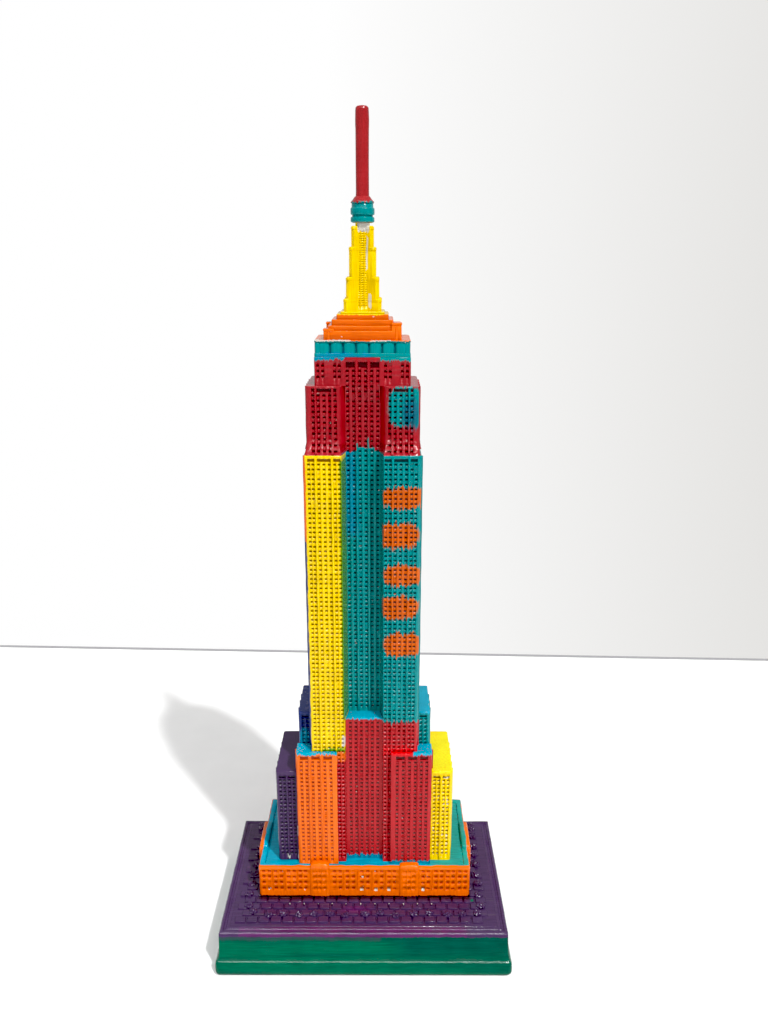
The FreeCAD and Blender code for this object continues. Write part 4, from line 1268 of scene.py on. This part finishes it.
def tapering(point):
    """Shrinks the mast towards its top, about the tower's axis."""
    share = (point.z - CORE_MAST_LOW.z) / (CORE_MAST_HIGH.z - CORE_MAST_LOW.z)
    size = 1 + (MAST_TOP_HALF / MAST_BOTTOM_HALF - 1) * min(1.0, max(0.0, share))
    return Vector((point.x * size, AXIS_Y + (point.y - AXIS_Y) * size, point.z))


def mast_core_shell():
    """Square core with a finely ribbed window strip on each face."""
    half = MAST_BOTTOM_HALF
    rows = window_rows(333.2, 303.0, 0.92, 0.46)
    columns = ((-1.85, 0.0, 1.85),)
    walls = Facade(columns, -half, rows, (302.4, 334.0), ribs=False, width=1.65, depth=0.42, channel=0.14,
                   slope=0.08, tone=0.62, sill=0.6)
    outline = ((-half, AXIS_Y - half), (half, AXIS_Y - half), (half, AXIS_Y + half), (-half, AXIS_Y + half))
    return prism(outline, (CORE_MAST_LOW.z - 0.4, CORE_MAST_HIGH.z), {k: walls for k in range(4)}, 0.25, 80,
                 tapering)


cast("mast_core", mast_yellow, mast_core_shell())

FIN_STAGES = ((10.5, 301.2, 306.6), (9.1, 306.2, 315.2), (7.3, 314.8, 327.2), (5.9, 326.8, 335.4))
FIN_T = 2.3


def fin_shells(angle):
    """Stepped buttress fin on a diagonal, each stage with a rounded overhanging cap."""
    shells = []
    for reach, z0, z1 in FIN_STAGES:
        for out, wide, z, edge, lean in ((-0.15, 0.0, (z0, z1), 0.3, 0.04),
                                         (0.1, 0.04, (z1 - 1.3, z1 + 0.1), 0.5, 0.0)):
            half = FIN_T / 2
            y = (AXIS_Y - half - wide, AXIS_Y + half + wide)
            shells.append(slab((1.6, reach + out), y, z, edge, lean))
    return [turned(s, math.radians(angle), (0.0, AXIS_Y)) for s in shells]


for node, angle in (("mast_fin_front_right", -45), ("mast_fin_rear_right", 45), ("mast_fin_rear_left", 135),
                    ("mast_fin_front_left", 225)):
    cast(node, mast_yellow, *fin_shells(angle))

DRUM_LOW, DRUM_HIGH = span("ring_drum")
RING_R = DRUM_HIGH.x
RINGS = ((337.05, 337.35, 338.6, 338.9), (339.9, 340.2, 342.1, 342.4))     # heights of their edges
LOWER_RING, UPPER_RING = ([(RING_R - 0.12, a), (RING_R, b), (RING_R, c), (RING_R - 0.12, d)]
                          for a, b, c, d in RINGS)
DRUM_PROFILE = [(4.0, DRUM_LOW.z - 0.3), (4.0, 336.7), (4.55, 336.95), *LOWER_RING, (4.5, 339.0), (4.3, 339.2),
                (4.3, 339.6), (4.5, 339.8), *UPPER_RING, (4.6, 342.55), (4.45, 342.8), (4.45, 344.1),
                (4.2, DRUM_HIGH.z)]
cast("ring_drum", ring_teal, lathe(DRUM_PROFILE, 48, 0.02), smooth_angle=40)

COLLAR_LOW, COLLAR_HIGH = span("rod_collar")
COLLAR_PROFILE = ((4.7, COLLAR_LOW.z - 0.1), (4.9, 344.6), (4.75, 344.95), (4.2, 345.5), (3.7, 346.2),
                  (3.2, 346.9), (2.7, COLLAR_HIGH.z + 0.1))
cast("rod_collar", rod_red, lathe(COLLAR_PROFILE, 44, 0.05), smooth_angle=60)

ROD_LOW, ROD_HIGH = span("antenna_rod")
ROD_R = 2.72
HEAD_R = ROD_HIGH.x
ROD_PROFILE = ((2.8, ROD_LOW.z - 0.2), (ROD_R, 349.0), (ROD_R, 360.0), (ROD_R, 372.4), (HEAD_R, 373.6),
               (HEAD_R, 376.0), (HEAD_R - 0.05, 379.0), (2.6, 380.2), (2.1, 380.75), (1.2, 380.95),
               (0.4, ROD_HIGH.z))
cast("antenna_rod", rod_red, lathe(ROD_PROFILE, 40, 0.03), smooth_angle=60)

for node in ("antenna_pin", "base_screws"):
    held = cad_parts[node]
    held.data.materials.clear()
    held.data.materials.append(steel)


# ---------------------------------------------------------------- floor, light and camera
def staged(name, corners, material, height=0.0):
    """Flat piece of the stage."""
    points = [Vector((x, y, height)) for x, y in corners]
    mesh_object(name, points, [list(range(len(corners)))], material)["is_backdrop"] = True


BOARD_X = 900.0
EDGE_WIDTH = 4.6
REAR = [(x, 294.3 - 0.0354 * x) for x in (-BOARD_X, BOARD_X)]     # the board's rear edge, a faint line
white_board = board_material("white_board", (0.88, 0.88, 0.88), 0.55)
# The board's rear edge is drawn as a dark grey strip: painted shade where the floor ends.
board_edge_shade = board_material("board_edge_shade", (0.30, 0.30, 0.31), 0.7)
staged("floor_board", [(-BOARD_X, -900.0), (BOARD_X, -900.0), REAR[1], REAR[0]], white_board)
staged("board_rear_edge", REAR + [(x, y + EDGE_WIDTH) for x, y in reversed(REAR)], board_edge_shade, -0.1)

AMBIENT = 0.62
PANEL_GAIN = 13.0           # a long bright panel in front of the model and above it
world = bpy.data.worlds.new("studio")
bpy.context.scene.world = world
sky = Nodes(world, "Background", "Generated")
way = sky.add("ShaderNodeSeparateXYZ", {0: sky.place}).outputs
colour = sky.mix(sky.ramp(way["X"], -0.06, 0.42), linear(255, 255, 255), linear(229, 228, 226))
panel = PANEL_GAIN
for axis, low, high in (("Z", 0.742, 0.75), ("Z", 0.802, 0.794), ("Y", -0.28, -0.36)):
    panel = sky.math("MULTIPLY", sky.ramp(way[axis], low, high), panel)
seen = sky.add("ShaderNodeLightPath").outputs["Is Camera Ray"]
sky.surface(Color=colour, Strength=sky.math("ADD", sky.ramp(seen, 0.0, 1.0, AMBIENT, 1.0), panel))


def sun(name, towards, power, angle):
    light = bpy.data.lights.new(name, "SUN")
    light.energy = power
    light.angle = math.radians(angle)
    obj = bpy.data.objects.new(name, light)
    obj.location = Vector(towards)
    obj.rotation_euler = Vector(towards).to_track_quat("Z", "Y").to_euler()
    bpy.context.scene.collection.objects.link(obj)


sun("key", (0.366, -0.504, 0.782), 2.9, 2.6)

scene = bpy.context.scene
camera = bpy.data.objects.new("camera", bpy.data.cameras.new("camera"))
camera.data.lens = 30.14
camera.data.sensor_width = 36.0
camera.data.clip_start = 0.01
camera.location = Vector((8.867, -365.15, 324.97)) * MM
camera.rotation_euler = (math.radians(73.17), -0.0022, 0.0)
scene.collection.objects.link(camera)
bpy.context.scene.camera = camera
look = scene.view_settings
look.view_transform = "Standard"
look.use_curve_mapping = True
look.curve_mapping.black_level = (0.020, 0.020, 0.020)
look.curve_mapping.update()

low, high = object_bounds()
